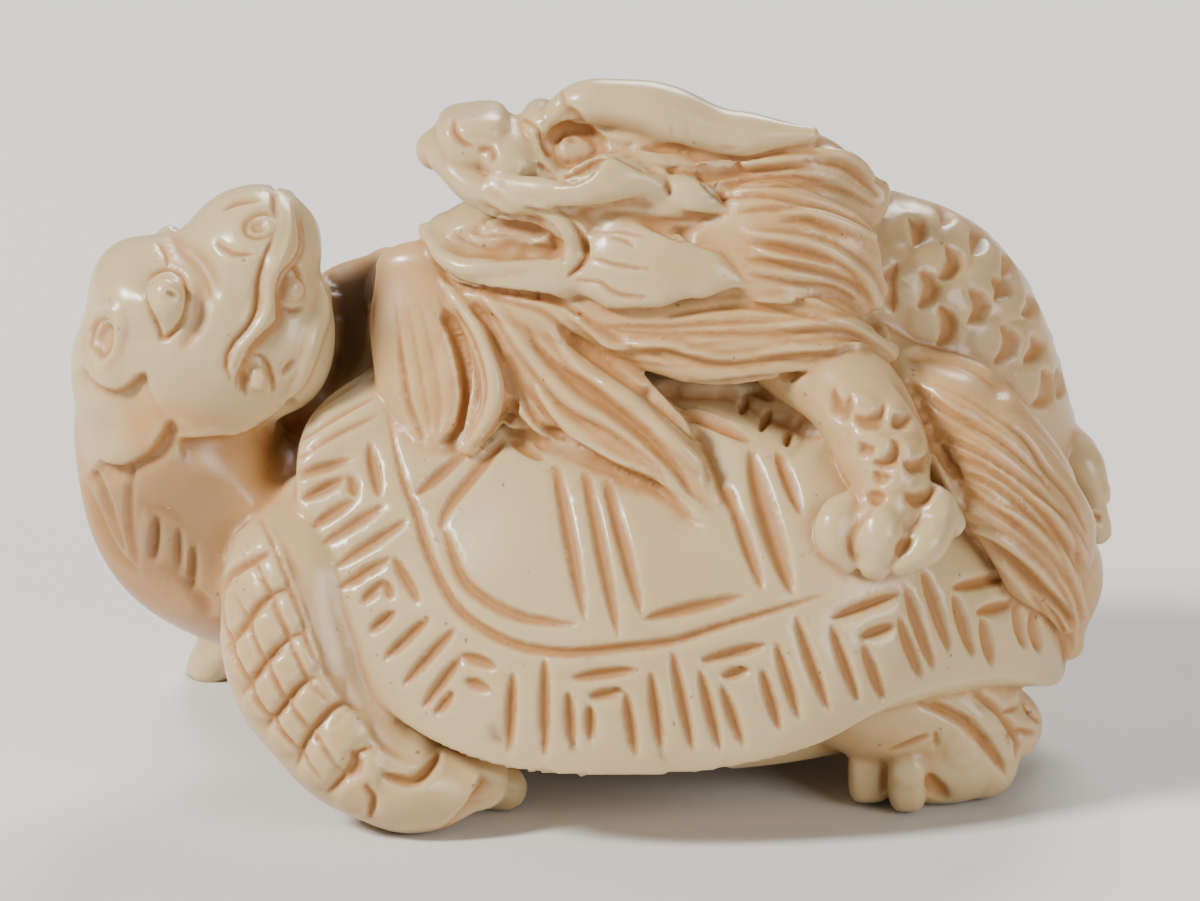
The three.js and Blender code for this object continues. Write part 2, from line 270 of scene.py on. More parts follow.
@dataclass
class Limb:
    """A limb, lock or horn: a round bar bent along a path.

    Attributes:
        region: What it belongs to.
        path: Its middle line.
        radii: Half its width along the path.
        flat: Its thickness for its width.
        facing: Where its broad side looks.
        grain: The size of its faces, in millimetres.
    """

    region: Region
    path: Path
    radii: tuple[float, ...]
    flat: float = 1.0
    facing: Point = NEAR
    grain: float = 0.35

    def axes(self, share: np.ndarray) -> tuple[np.ndarray, np.ndarray]:
        """The directions across the bar's broad side and out of it.

        Args:
            share: Shares of its length.

        Returns:
            Both directions at each of them.
        """
        heading = self.path.heading(share)
        side = np.cross(heading, np.array(self.facing))
        side /= np.linalg.norm(side, axis=1, keepdims=True)
        return side, np.cross(side, heading)

    def shape(self, block: "Block") -> None:
        """Adds the limb to the block."""
        girth = 2 * math.pi * max(self.radii)
        around = max(10, round(girth / self.grain))
        along = max(8, round(self.path.length / self.grain))
        unit = block.ball(around, along)
        place = np.arccos(np.clip(-unit[:, 2], -1, 1)) / math.pi
        cap = min(0.2, max(self.radii) / (self.path.length + 1e-6) * 0.5)
        share = np.clip((place - cap) / (1 - 2 * cap), 0, 1)
        end = np.minimum(place, 1 - place) / cap
        fill = np.sin(np.clip(end, 0, 1) * math.pi / 2)
        swell = np.cos(np.clip(end, 0, 1) * math.pi / 2) * np.where(place < 0.5, -1, 1)
        radius = eased(self.radii, share)
        ring = unit[:, :2] / np.maximum(np.hypot(unit[:, 0], unit[:, 1]), 1e-9)[:, None]
        side, out = self.axes(share)
        heading = self.path.heading(share)
        spread = (radius * fill)[:, None]
        places = self.path.at(share)
        places = places + side * ring[:, :1] * spread + out * ring[:, 1:] * spread * self.flat
        places += heading * (radius * swell * self.flat)[:, None]
        block.put(self.region, places)


@dataclass
class Egg:
    """An egg-shaped mass, its radii along X, Y and Z, leaning over in the drawing.

    It is squarer where boxy is less than one.
    """

    region: Region
    centre: Point
    radii: Point
    lean: float = 0.0
    grain: float = 0.35
    boxy: float = 1.0

    def shape(self, block: "Block") -> None:
        """Adds the egg to the block."""
        around = max(12, round(2 * math.pi * max(self.radii) / self.grain))
        unit = block.ball(around, around // 2)
        unit = np.sign(unit) * np.abs(unit) ** self.boxy * np.array(self.radii)
        turn = math.radians(-self.lean)
        x = unit[:, 0] * math.cos(turn) + unit[:, 2] * math.sin(turn)
        z = -unit[:, 0] * math.sin(turn) + unit[:, 2] * math.cos(turn)
        block.put(self.region, np.stack([x, unit[:, 1], z], axis=1) + np.array(self.centre))


class Block:
    """The masses of the work, set out together before they become one surface."""

    def __init__(self) -> None:
        """Starts with nothing."""
        self.bm = bmesh.new()
        self._fresh = bmesh.new()
        self.places: list[np.ndarray] = []
        self.regions: list[np.ndarray] = []

    def ball(self, around: int, along: int) -> np.ndarray:
        """Makes a unit ball, which put then shapes.

        Args:
            around: Its faces round the Z axis.
            along: Its faces from pole to pole.

        Returns:
            Its vertices.
        """
        self._fresh.clear()
        bmesh.ops.create_uvsphere(self._fresh, u_segments=around, v_segments=along, radius=1.0)
        return np.array([v.co[:] for v in self._fresh.verts])

    def put(self, region: Region, places: np.ndarray) -> None:
        """Moves the last ball's vertices to their places and notes what they belong to.

        Args:
            region: What they belong to.
            places: Their places, in the ball's order.
        """
        for vertex, place in zip(self._fresh.verts, places.tolist()):
            vertex.co = place
        bmesh.ops.recalc_face_normals(self._fresh, faces=self._fresh.faces)
        form = bpy.data.meshes.new("form")
        self._fresh.to_mesh(form)
        self.bm.from_mesh(form)
        bpy.data.meshes.remove(form)
        self.places.append(places)
        self.regions.append(np.full(len(places), region.value))

    def mesh(self, name: str) -> bpy.types.Mesh:
        """The block as a mesh."""
        mesh = bpy.data.meshes.new(name)
        self.bm.to_mesh(mesh)
        self.bm.free()
        return mesh


@dataclass
class Carapace:
    """The turtle's shell, with its wide border.

    Attributes:
        top: The height of its crown.
        middle: The X of its crown.
        flare: How far its sides spread before they rise.
        rim_thick: The thickness of the border's edge.
        floor: The height that its underside comes down to.
        tuck: How steeply it does so.
        faces: The faces round it and from top to bottom.
    """

    top: float = 22.0
    middle: float = 1.0
    flare: float = 1.15
    rim_thick: float = 1.0
    floor: float = 5.0
    tuck: float = 1.4
    faces: tuple[int, int] = (380, 150)

    # The border's edge on the near side.
    RIM = (
        (22.6, 0, 6.2), (22.1, -4.5, 6), (19, -9.2, 8.1), (14.6, -12.4, 8.2), (10.5, -14.2, 6.3),
        (6, -15, 5.3), (0, -15.3, 5), (-5, -14.4, 5.4), (-9, -12.6, 7), (-11.8, -11, 10),
        (-13.3, -9.4, 13), (-14, -8, 16.2), (-13.6, -5.5, 18), (-11.5, -2.5, 19), (-10.4, 0, 19.2),
    )

    RING = drawn("""
        -9.7,19.8 -9,17 -8.4,15.4 -7.6,12.9 -6.4,10.8 -5,9.7 -3.4,9 -1.3,8.7 1.1,8.9 3.9,9.3 6.1,10
        8.5,10.7 11,11.5
    """)
    PLATES = drawn("""
        -4.2,18.8 -7,15.3 -7.2,14.4 / -7.1,14.7 -6.1,12.1 -4.9,11.1 -3.4,10.4 -0.7,10 / -1.8,17.7
        -0.4,10.2 / -0.4,17.4 1.2,9.4 / 0.6,17 2.3,10.4 / 2.3,10.3 7.1,11.4 / -6.1,18.1 -8.4,16.1 /
        6.3,16.6 8,11.6 / 8.7,18.2 9.8,15.2 / 3.2,20.1 5.1,19.8 7.4,18.7
    """)
    FRETS = drawn("""
        -2.3,8.5 -2.3,3.8 / -3.8,7.8 -4,4 / -1.1,7.5 2.1,7.9 / -0.3,6.6 1.5,6.9 / -1.2,6.9 -1,4.1 /
        -0.2,6.3 -0.1,4.4 / 1.5,6.9 2,3.8 / 2.7,7.8 3.2,4 / 3.7,8.8 4.7,4 / 5,8.3 8.2,9.1 / 6,7.6
        7.4,7.9 / 5,7.9 6,4 / 6,7.2 7.1,4.2 / 7.9,8 8.8,5 / 8.6,9.2 9.7,5.5 / 9.5,10.4 11.1,5.9 /
        11.2,10.3 14.5,11.5 / 12.5,9.4 14.3,10 / 11.2,10 12.5,6.3 / 12.7,9.1 13.7,6.4 / 14.4,10.4
        15.5,7.4 / 14.7,11.8 16.1,7.8 / 15.5,12.7 16.9,8.6 / 16.9,11.7 19.9,12.3 / 18.1,10.5 20,11 /
        17,11.5 18,8.4 / 18.4,10.4 18.9,8 / 20,11 20.5,8.8 / 20.8,10.6 21.2,8.6 / -13.3,14.6 -11.2,16 /
        -12.8,13.8 -9.8,15.7 / -12.2,12.7 -8.7,15 / -12,11.7 -9.5,13.2 / -9.5,13.3 -8.2,11 / -11,11
        -9.8,12.1 / -9.9,12.1 -9.5,11.2 / -10.6,9.6 -9.3,10.7 / -9.9,8.3 -7.7,10.4 / -9,7.1 -6.5,9.9 /
        -8.1,6 -6.2,8.6 / -6.3,8.6 -4.5,8 / -7.5,5.7 -6.6,6.9 / -6.1,7.4 -4.8,6.9 / -14.4,16.9
        -11.4,17.8 / -10.6,18.6 -10.1,16 / -13.9,15.8 -11.6,17 / -11.5,17.1 -11.2,16
    """)
    FRONT_LINES = drawn("""
        -14.6,18.2 -12.5,19.6 -10.2,20.8 / -14.4,17.6 -12.2,18.9 -10,20 / -14.9,18.8 -13,20.3
        -10.9,21.6
    """)
    SHORT_MARK = drawn("-3.9,18.8 -2.4,17.9")
    WIDE_MARK = drawn("7.4,18.3 8.1,15.5 9.4,11.4")
    # Small dark brown spots on the shell: each a place, its radii and how dark it is.
    DARK_SPOTS = (
        ((-4.7, 5), (0.4, 0.6), 0.45), ((-4.5, 4.7), (0.2, 0.25), 0.9), ((-0.95, 4.3), (0.12, 0.4), 0.9),
        ((1.2, 7), (0.25, 0.12), 0.8), ((-0.2, 8.4), (0.2, 0.2), 0.4), ((3.2, 3.9), (0.3, 0.2), 0.5),
        ((-7.4, 14), (0.1, 0.1), 0.8), ((-4.8, 18.7), (0.12, 0.12), 0.9), ((9.9, 13.4), (0.1, 0.1), 0.8),
    )

    def shape(self, block: Block) -> None:
        """Adds the shell to the block."""
        near = list(self.RIM)
        loop = Path(near + across(near)[1:-1][::-1], closed=True, fine=1200)
        unit = block.ball(*self.faces)
        turn = np.arctan2(-unit[:, 1], unit[:, 0]) / (2 * math.pi) % 1.0
        edge = loop.at(turn)
        out = np.hypot(unit[:, 0], unit[:, 1])
        up = unit[:, 2]
        over = up > -1e-6
        spread = np.where(over, out**self.flare, out)
        under = np.minimum(1, -up * self.tuck)
        x = self.middle + (edge[:, 0] - self.middle) * spread
        y = edge[:, 1] * spread
        high = edge[:, 2] + (self.top - edge[:, 2]) * up
        low = edge[:, 2] - self.rim_thick
        low += (self.floor - low) * under
        block.put(Region.SHELL, np.stack([x, y, np.where(over, high, low)], axis=1))

    def carve(self, carver: "Carver") -> None:
        """Cuts the plates of the shell and the fret round its border, on both sides.

        Args:
            carver: The carver at work.
        """
        for mirror in (None, Mirror(0.0)):
            carver.look({Region.SHELL}, mirror)
            cuts = gouges(0.66, 0.36, self.RING) + gouges(0.78, 0.38, self.PLATES)
            cuts += gouges(0.72, 0.38, self.FRETS) + gouges(0.34, 0.2, self.FRONT_LINES)
            cuts += gouges(1.25, 0.55, self.WIDE_MARK) + gouges(0.45, 0.2, self.SHORT_MARK)
            carver.strokes(cuts)
        carver.look({Region.SHELL})
        for spot, radii, shade_and_dirt in self.DARK_SPOTS:
            carver.dish(Dish(spot, radii, 0, 0, shade_and_dirt))


@dataclass
class Plastron:
    """The turtle's belly, flat where it faces what the work stands on.

    Attributes:
        floor: The height of the flat.
        centre: The middle of the mass.
        radii: Its radii above its middle.
        drop: Its radius below its middle, before it is cut off flat.
        faces: The faces round it and from top to bottom.
        cord_hole: The radius of the cord's passage.
        cord_gap: The distance between the passage's mouths.
        cord_rise: How high the passage goes on its way and in its middle.
        seams: Where the seams cross the belly, from its middle.
        bow: How far they bow at the sides.
        seam_reach: Half their width.
        seam_depth: Their depth.
    """

    floor: float = 2.0
    centre: Point = (2, 0, 9.5)
    radii: Point = (18, 12, 8)
    drop: float = 11.0
    faces: tuple[int, int] = (220, 110)
    cord_hole: float = 1.6
    cord_gap: float = 9.0
    cord_rise: Spot = (3.6, 5.6)
    seams: tuple[float, ...] = (-11, -5.5, 0, 5.5, 11)
    bow: float = 0.02
    seam_reach: float = 0.35
    seam_depth: float = 0.3

    def tunnel(self) -> bpy.types.Object:
        """The bent passage that the cord runs through, as a solid to cut away."""
        half = self.cord_gap / 2
        side, top = self.cord_rise
        bend = [(-half, 0, 0), (-half * 0.8, 0, side), (0, 0, top), (half * 0.8, 0, side), (half, 0, 0)]
        block = Block()
        Limb(Region.BELLY, Path(bend), (self.cord_hole, self.cord_hole)).shape(block)
        bmesh.ops.recalc_face_normals(block.bm, faces=block.bm.faces[:])
        return placed("tunnel", block.mesh("tunnel"))

    def shape(self, block: Block) -> None:
        """Adds the belly to the block."""
        unit = block.ball(*self.faces)
        drop = np.where(unit[:, 2] < 0, self.drop, self.radii[2])
        x = self.centre[0] + unit[:, 0] * self.radii[0]
        y = self.centre[1] + unit[:, 1] * self.radii[1]
        z = np.maximum(self.centre[2] + unit[:, 2] * drop, self.floor)
        block.put(Region.BELLY, np.stack([x, y, z], axis=1))

    def carve(self, carver: "Carver") -> None:
        """Cuts the seams between the belly's plates.

        Args:
            carver: The carver at work.
        """
        surface = carver.surface
        under = np.flatnonzero(surface.outward()[:, 2] < -0.5)
        under = under[surface.regions[under] == Region.BELLY.value]
        x, y = surface.places[under, :2].T
        gaps = [np.abs(x - self.centre[0] - seam + self.bow * y * y) for seam in self.seams]
        gap = np.min([np.abs(y), *gaps], axis=0)
        groove = np.clip(1 - gap / self.seam_reach, 0, 1)
        carver.fill(carver.sunk, under, groove * self.seam_depth)
        carver.fill(carver.stain, under, groove)


@dataclass
class TurtleLegs:
    """The turtle's four legs, with their toes."""

    fore_bulk: tuple[float, ...] = (2, 3.3, 3.6, 3.1, 2.6, 1.5)
    hind_bulk: tuple[float, ...] = (3, 3.4, 2.9, 1.8)

    ROWS = drawn("""
        -17.8,13.1 -17.3,14.1 -16.2,15 / -17.7,11.2 -17.1,12.3 -16.2,12.9 -15,13.5 / -17.4,8.8
        -16.5,9.8 -15.7,10.9 -14.9,11.5 -14,11.7 / -16.6,6.7 -15.8,7.7 -15,8.7 -14.2,9.4 -13.3,9.7 /
        -15.5,5.1 -14.6,6.1 -13.7,7.2 -12.9,7.6 / -14,3.3 -13.5,4.6 -12.8,5.5 -12.1,6.2 -11.1,6.5 /
        -12.6,2 -11.6,3 -11.1,3.9 -10.3,4.3 / -10.6,0.8 -10.4,1.8 -10.8,2.6
    """)
    COLUMNS = drawn("""
        -16.3,13.8 -15.8,12.8 -15.3,11.7 -14.8,10.5 -14.2,9.1 -13.6,7.7 -13,6.9 -12.3,6.2 / -16.8,11.5
        -16.3,10.4 -15.8,9.1 -15.1,7.7 -14.4,6.4 -13.6,5.4 -12.8,4.4 -12.1,3.4 -11.3,2.5 / -15.7,14.9
        -15.1,13.8 -14.6,12.6 -14.2,11.5 -13.7,10.3 -13.4,9 -12.8,7.7 / -17.3,12 -17.4,10.9 -17.1,9.2
        -16.4,7.7 -15.7,6.3 -14.8,5.2 -13.6,3.8 -12.6,2.6
    """)
    BAND = drawn("""
        -15.4,14.7 -14.8,13.5 -14.2,12 -13.7,10.5 -13.1,9.1 -12.7,7.7 -11.8,6.3 -10.8,5.2 -10,4.1
        -9,3.5 -8.1,3.3
    """)
    TOE_HOLLOWS = drawn("""
        -10,3 -9.2,2.7 -8.4,2.6 -7.9,3 -7.5,3.5 -7.2,4 / -11.4,4.1 -11.1,3.5 -11.6,2.6
    """)
    TOE_EDGE = drawn("-5.3,3.1 -5.6,2.3 -6.2,1.4 -6.9,0.7 -7.7,0.2")
    HIND_FOLD = drawn("14.4,6.5 15.6,6.3 16.7,5.9 17.7,5.3 18.4,4.6 19,3.8 19.7,2.7")
    HIND_LINES = drawn("""
        20.4,6.3 20.7,5.8 21.3,5.2 / 19.4,4.5 20,4.9 21,4.8 / 19.1,5.3 19.6,5.8 20.2,6 / 14,4 14.9,4.3
        15.5,4.6 16,4.8 / 16.2,5 16.3,4 / 13.9,3.4 13.8,2.6 13.7,1.9
    """)
    HIND_CREASE = drawn("17.7,7 18.7,6.3 19.4,5.6 20,4.7 20,3.5")
    HIND_SWELLS = ((18.7, 5.3), (19.5, 4.1), (19.5, 6.8), (20.7, 4), (17.5, 4), (14.9, 3))
    HIND_CLAW = drawn("15.9,2.9 16.2,2.3 16.9,1.7")

    def far_leg(self) -> Limb:
        """The far fore leg."""
        path = Path([(-11, 7, 11), (-14.4, 9, 6), (-16.6, 11, 3.6), (-17.2, 11.6, 2.6)])
        return Limb(Region.TURTLE_LEG, path, (3.8, 3.6, 3, 2.1), facing=FAR)

    def shape(self, block: Block) -> None:
        """Adds the legs to the block."""
        draw = DRAWING
        region = Region.TURTLE_LEG
        upper = [(-13, 15.4, -6), (-14.2, 12, -8.2), (-13.6, 7.6, -9.6)]
        lower = [(-11.2, 4.1, -10.8), (-8, 2.4, -11.4), (-5.4, 2.7, -11.4)]
        Limb(region, draw.path(upper + lower), self.fore_bulk).shape(block)
        toe = draw.path([(-9, 3.4, -9.4), (-6.2, 2.8, -8.6), (-4.2, 2.2, -8.4)])
        Limb(Region.CLAW, toe, (2.2, 1.9, 1.1)).shape(block)
        hook = draw.path([(-10.2, 2.1, -11.4), (-8.4, 1.7, -12.1), (-6.6, 2.3, -12), (-5.9, 3.3, -11.4)])
        Limb(Region.CLAW, hook, (1, 1.35, 1.3, 0.8)).shape(block)
        self.far_leg().shape(block)
        far_paw = Path([(-15.6, 10.6, 4.4), (-17.4, 12, 2), (-18.4, 12.6, 0.3)])
        Limb(Region.CLAW, far_paw, (1.8, 2.5, 2.1), 0.6, (-1, 0.2, 0.4)).shape(block)
        hind = [(10.5, 7.5, -6), (15, 6.5, -6.9), (18, 5.6, -6.4), (19.6, 5.2, -5.6)]
        hind = [draw.at(*p) for p in hind]
        for leg, side, look in ((hind, 1, NEAR), (across(hind), -1, FAR)):
            Limb(region, Path(leg), self.hind_bulk, facing=look).shape(block)
            for x, y, z, radii, boxy in (
                (16.5, -6.8, 2.7, (3.2, 2.5, 2.7), 0.85),
                (18.2, -6.4, 2.6, (2.1, 2.2, 2.5), 0.8),
                (14.9, -8.4, 1.8, (0.95, 1.3, 1.7), 0.6),
                (13.1, -7.3, 1.7, (1, 1.2, 1.5), 0.5),
            ):
                Egg(Region.CLAW, (x, y * side, z), radii, boxy=boxy).shape(block)

    def carve(self, carver: "Carver") -> None:
        """Cuts the scales of both fore legs, and the folds and toes of both hind legs.

        Args:
            carver: The carver at work.
        """
        legs = {Region.TURTLE_LEG, Region.CLAW}
        carver.look(legs)
        for upper, lower in zip(self.ROWS, self.ROWS[1:]):
            edges = [Path([(*p, 0) for p in row]) for row in (upper, lower)]
            for share in (0.12, 0.37, 0.62, 0.87):
                u, v = sum(edge.at(share)[0, :2] for edge in edges) / 2
                carver.dish(Dish((u, v), (0.9, 0.85), -0.16))
        cuts = gouges(0.5, 0.32, self.ROWS) + gouges(0.36, 0.24, self.COLUMNS)
        cuts += gouges(0.75, 0.5, self.TOE_HOLLOWS) + steps(0.22, 1.2, self.BAND, left=True)
        cuts += steps(0.6, 1.2, self.TOE_EDGE, left=True)
        carver.strokes(cuts)
        carver.scales(Region.TURTLE_LEG, self.far_leg(), 2.2, 0.25)
        carver.press()
        for mirror in (None, Mirror(0.0)):
            carver.look(legs, mirror)
            for spot in self.HIND_SWELLS:
                carver.dish(Dish(spot, (0.9, 0.85), -0.14))
            cuts = gouges(0.75, 0.45, self.HIND_FOLD) + gouges(0.35, 0.22, self.HIND_LINES)
            cuts += gouges(0.6, 0.3, self.HIND_CREASE) + gouges(0.9, 0.35, self.HIND_CLAW)
            carver.strokes(cuts)


@dataclass
class TurtleHead:
    """The turtle's neck and its raised, backward-looking head."""

    plane: float = -3.5

    EYE = drawn("""
        -21.1,25.9 -21,26.2 -20.6,26.6 -20,26.8 -19.5,26.6 -19.1,26 -19,25.2 -19.2,24.4 -19.7,23.8
        -20.3,23.4 -20.5,24 -20.9,24.8 -21.1,25.4 -21.1,25.9
    """)
    LINES = drawn("""
        -20.6,28.1 -20.2,27.5 -20.1,26.8 / -17.5,29.5 -16.9,29.9 -16.3,30 -15.7,30 / -14.9,29.1
        -15.4,29.4 -16,29.3 -16.4,28.9 -16.3,28.4 -15.8,28.2 -15.2,28.4 -14.9,28.7 / -17.9,28.2
        -17.5,27.8 -16.8,27.4 -15.8,27.5 / -15.1,30.8 -15,29.8 -14.9,28.9 / -20.1,25.6 -19.5,25.5 /
        -14.8,25 -14.2,24.8 -13.6,25 / -14.6,26.5 -14.1,26.9 -13.8,26.3 -13.6,25.5 / -16.4,22
        -16.5,21.3 -16.3,20.7 / -16.1,22.6 -15.7,22.7 -15.3,22.1 -15.1,21.4 -15.1,20.8 / -14.7,21.7
        -14.3,22.2 -14,22.5 / -23.7,22.9 -23.7,23.9 -23.2,24.4 -22.7,24.3
    """)
    LIP_LINE = drawn("""
        -14.9,28.9 -15.1,28.2 -15.5,27.2 -15.8,26.1 -15.9,24.8 -16.3,24 -16.9,23.3 -17.3,22.5
        -17.2,21.8 -17,21.3
    """)
    LIP = drawn("""
        -14.4,29.9 -14.3,29 -14.4,28.1 -14.7,27.4 -15.2,26.3 -15.3,25.1 -15.6,24.2 -16.2,23.5
        -16.8,22.8 -17,22
    """)
    MOUTH = drawn("""
        -14.1,30 -13.8,28.8 -13.7,27.8 -14,27.1 -14.6,26.4 -14.8,25.4 -14.8,24.3 -15.5,23.6 -16.1,22.9
        -16.5,22.1 -16.8,21.3 -16.4,20.7
    """)
    JAW_RIM = drawn("""
        -13.3,29.4 -12.7,28.2 -12.5,26.6 -12.6,25.1 -13.1,23.7 -13.5,22.3 -14,21.2 -14.9,20.5
    """)
    TEETH = ((-14.1, 25.8), (-15.8, 21.6))
    EAR_RIM = drawn("-23.5,24.8 -22.8,25 -22.3,24.4 -22.4,23.4 -22.9,22.4 -23.3,22.2")
    CHEEK = drawn("-24,22.3 -23.7,21.7 -23.2,21.3 -22.6,21.1 -22,21.3 -21.5,21.8 -21,22")
    JAW = drawn("-19.9,18.7 -19,18.8 -18,18.9 -16.8,19 -15.8,19.6 -14.9,20.2 -14.2,20.8")
    LOBE = drawn("-23.3,17.9 -22.9,17.6 -22.3,17.5 -21.6,17.8 -21,18.2 -20.5,18.9 -20,19.8")
    FOLDS = drawn("""
        -22.1,15.6 -21.3,15.5 -20.5,15.3 -19.8,15 -19.2,14.4 -18.3,14 / -21.7,12.1 -20.9,12.5 -20,12.2
        -19.2,11.6 -18.4,10.9 -18,10.4
    """)
    NECK_LINES = drawn("""
        -21.7,17.7 -21.9,16.6 -22,15.4 -21.9,14 -21.6,12.8 / -20.6,15.1 -20.7,14.2 -20.8,12.9 /
        -19.6,14.5 -19.6,13.6 -19.6,12.4 / -24.4,17 -23.6,15.3 -23,13.9 -22.5,13.1 -21.5,12.3 /
        -23.6,17.3 -23.1,15.9 -22.7,14.5 -22.2,13.4 / -18.9,13.7 -18.9,12.8 -19,11.6
    """)
    BROW_VALLEY = drawn("-20,28.8 -19.6,27.9 -18.7,27.2 -18.1,26.2 -18,25.1")
    EYE_HOLLOW = drawn("-18.7,26.6 -18.4,25.4 -18.7,24 -19.4,23")
    NECK_RIDGE = drawn("-21.2,15.5 -21.1,14.4 -21.2,13.2")

    def face(self, u: float, v: float) -> Point:
        """A place on the middle plane of the head."""
        return DRAWING.at(u, v, self.plane)

    def shape(self, block: Block) -> None:
        """Adds the neck and the head to the block."""
        neck = [(-8, 14, 0), (-14, 13.8, -1), (-18.4, 15.4, -2.2), (-19.8, 19.5, -3)]
        neck.append((-18.8, 23.4, self.plane))
        Limb(Region.NECK, DRAWING.path(neck), (5.4, 5.8, 5.5, 4.9, 4.2)).shape(block)
        region = Region.TURTLE_FACE
        for u, v, radii, lean in (
            (-18.3, 23.8, (6, 4.6, 5.2), 10),
            (-16.2, 27.5, (3.6, 3.8, 3.2), 35),
            (-15.2, 24.2, (3, 4, 4.4), 10),
            (-21.3, 25.6, (2.6, 4.1, 2.7), 30),
            (-22.6, 22, (2.2, 3.9, 3.4), 0),
            (-21.8, 19.2, (2.6, 3.8, 2), 20),
        ):
            Egg(region, self.face(u, v), radii, lean).shape(block)
        eye = [DRAWING.at(-20, 25.3, self.plane - 4.2)]
        for place in eye + across(eye, self.plane):
            Egg(region, place, (1, 0.9, 1.3), 20, 0.2).shape(block)

    def carve(self, carver: "Carver") -> None:
        """Cuts the face on both sides, and the folds and scales of the neck.

        Args:
            carver: The carver at work.
        """
        both = {Region.TURTLE_FACE, Region.NECK}
        for mirror in (None, Mirror(self.plane)):
            carver.look(both, mirror)
            # Painted shade on the neck under the head, spread wide over a shallow hollow.
            carver.smear(Dish((-20.2, 14.6), (4.6, 4.4), 0.35, 0, 0.4), 16)
            cuts = steps(0.3, 1.2, self.MOUTH, left=True) + steps(0.45, 1.2, self.CHEEK)
            cuts += steps(0.9, 1.6, self.JAW) + steps(0.7, 1.2, self.LOBE)
            cuts += gouges(1.5, 0.45, self.FOLDS, Tool.HOLLOW)
            cuts += gouges(0.9, 0.35, self.JAW_RIM, Tool.RIDGE)
            carver.strokes(cuts)
            carver.press()
            carver.look(both, mirror)
            carver.dish(Dish((-23.1, 23.4), (0.6, 0.95), 0.4, 10, 0, 0.35))
            carver.dish(Dish((-15.8, 28.8), (0.5, 0.42), 0.3, 0, 0, 0.4))
            cuts = gouges(0.36, 0.3, self.EYE) + gouges(0.36, 0.24, self.LINES)
            cuts += gouges(0.4, 0.28, self.LIP_LINE) + gouges(0.7, 0.28, self.LIP, Tool.RIDGE)
            cuts += gouges(0.42, 0.3, self.MOUTH) + gouges(0.6, 0.22, self.EAR_RIM, Tool.RIDGE)
            cuts += gouges(0.75, 0.3, self.NECK_LINES, Tool.HOLLOW)
            cuts += gouges(0.9, 0.25, self.NECK_RIDGE, Tool.RIDGE)
            cuts += gouges(1.9, 0.4, self.BROW_VALLEY, Tool.HOLLOW)
            cuts += gouges(1.4, 0.3, self.EYE_HOLLOW, Tool.HOLLOW)
            for spot in self.TEETH:
                carver.dish(Dish(spot, (0.45, 0.6), -0.35))
            carver.strokes(cuts)


@dataclass
class DragonBody:
    """The dragon's trunk, which rises from the shell and coils round its far side."""

    bulk: tuple[float, ...] = (4, 4.6, 4.6, 4.2, 3.8, 3.4, 3, 2.6, 1.8, 0.5)

    SCALES = drawn("""
        16.2,30.2 16.7,29.6 16.6,28.8 / 14.9,29.2 15.4,28.6 15.2,27.8 / 18.1,29.5 18.4,29.1 18.2,28.7 /
        17.8,28.6 18.2,28 17.9,27.4 / 16.6,27.9 17.1,27.2 16.8,26.6 16.2,26.3 / 19.3,27.5 19.7,27
        19.3,26.4 / 15.4,26.7 16,26 15.8,25.4 15.3,24.9 / 18.8,26.4 19.4,25.8 18.9,25.3 / 17.7,25.9
        18.4,25 17.7,24.2 / 20.5,25.6 20.9,25 20.2,24.6 / 16.3,25.1 16.8,24.3 16.7,23.6 16.2,23.1 /
        19.2,24.2 19.8,23.4 19.6,22.8 18.9,22.3 / 20.7,23.7 21.1,23 20.3,22.4 / 21.2,22.1 21.6,21.3
        21.4,20.6 20.7,20.3 / 22,22.2 22.3,21.3 22.1,20.6 / 14.4,27.1 13.9,26.1 14.2,24.7
    """)
    UNDERSIDE = drawn("14.5,22.7 15.4,23 16.5,23 17.8,22.6 18.8,22 20.1,21.1")

    def trunk(self) -> Limb:
        """The trunk, as a limb."""
        risen = [(7, 26.5, -1), (12, 26.2, 0), (15.6, 25.2, 0.6), (17.9, 21.4, 1.6), (19.2, 17.4, 4.2)]
        coiled = [(17.5, 9, 12.5), (11, 11.4, 12.5), (3, 12.2, 13), (-4, 11, 14.5), (-8.5, 8, 17.5)]
        spine = Path([DRAWING.at(*p) for p in risen] + coiled)
        return Limb(Region.DRAGON_BODY, spine, self.bulk)

    def shape(self, block: Block) -> None:
        """Adds the trunk to the block."""
        self.trunk().shape(block)

    def carve(self, carver: "Carver") -> None:
        """Cuts the crescents of the scales.

        Args:
            carver: The carver at work.
        """
        carver.look({Region.DRAGON_BODY, Region.TAIL, Region.HAIR})
        carver.strokes(steps(0.45, 1.3, self.UNDERSIDE))
        carver.look({Region.DRAGON_BODY})
        for scale in self.SCALES:
            u, v = np.mean(scale, axis=0)
            carver.dish(Dish((u - 0.6, v + 0.2), (1.1, 1.15), -0.14))
        carver.strokes(gouges(1.05, 0.36, self.SCALES, Tool.CRESCENT))
        carver.scales(Region.DRAGON_BODY, self.trunk(), 2.1, 0.3)


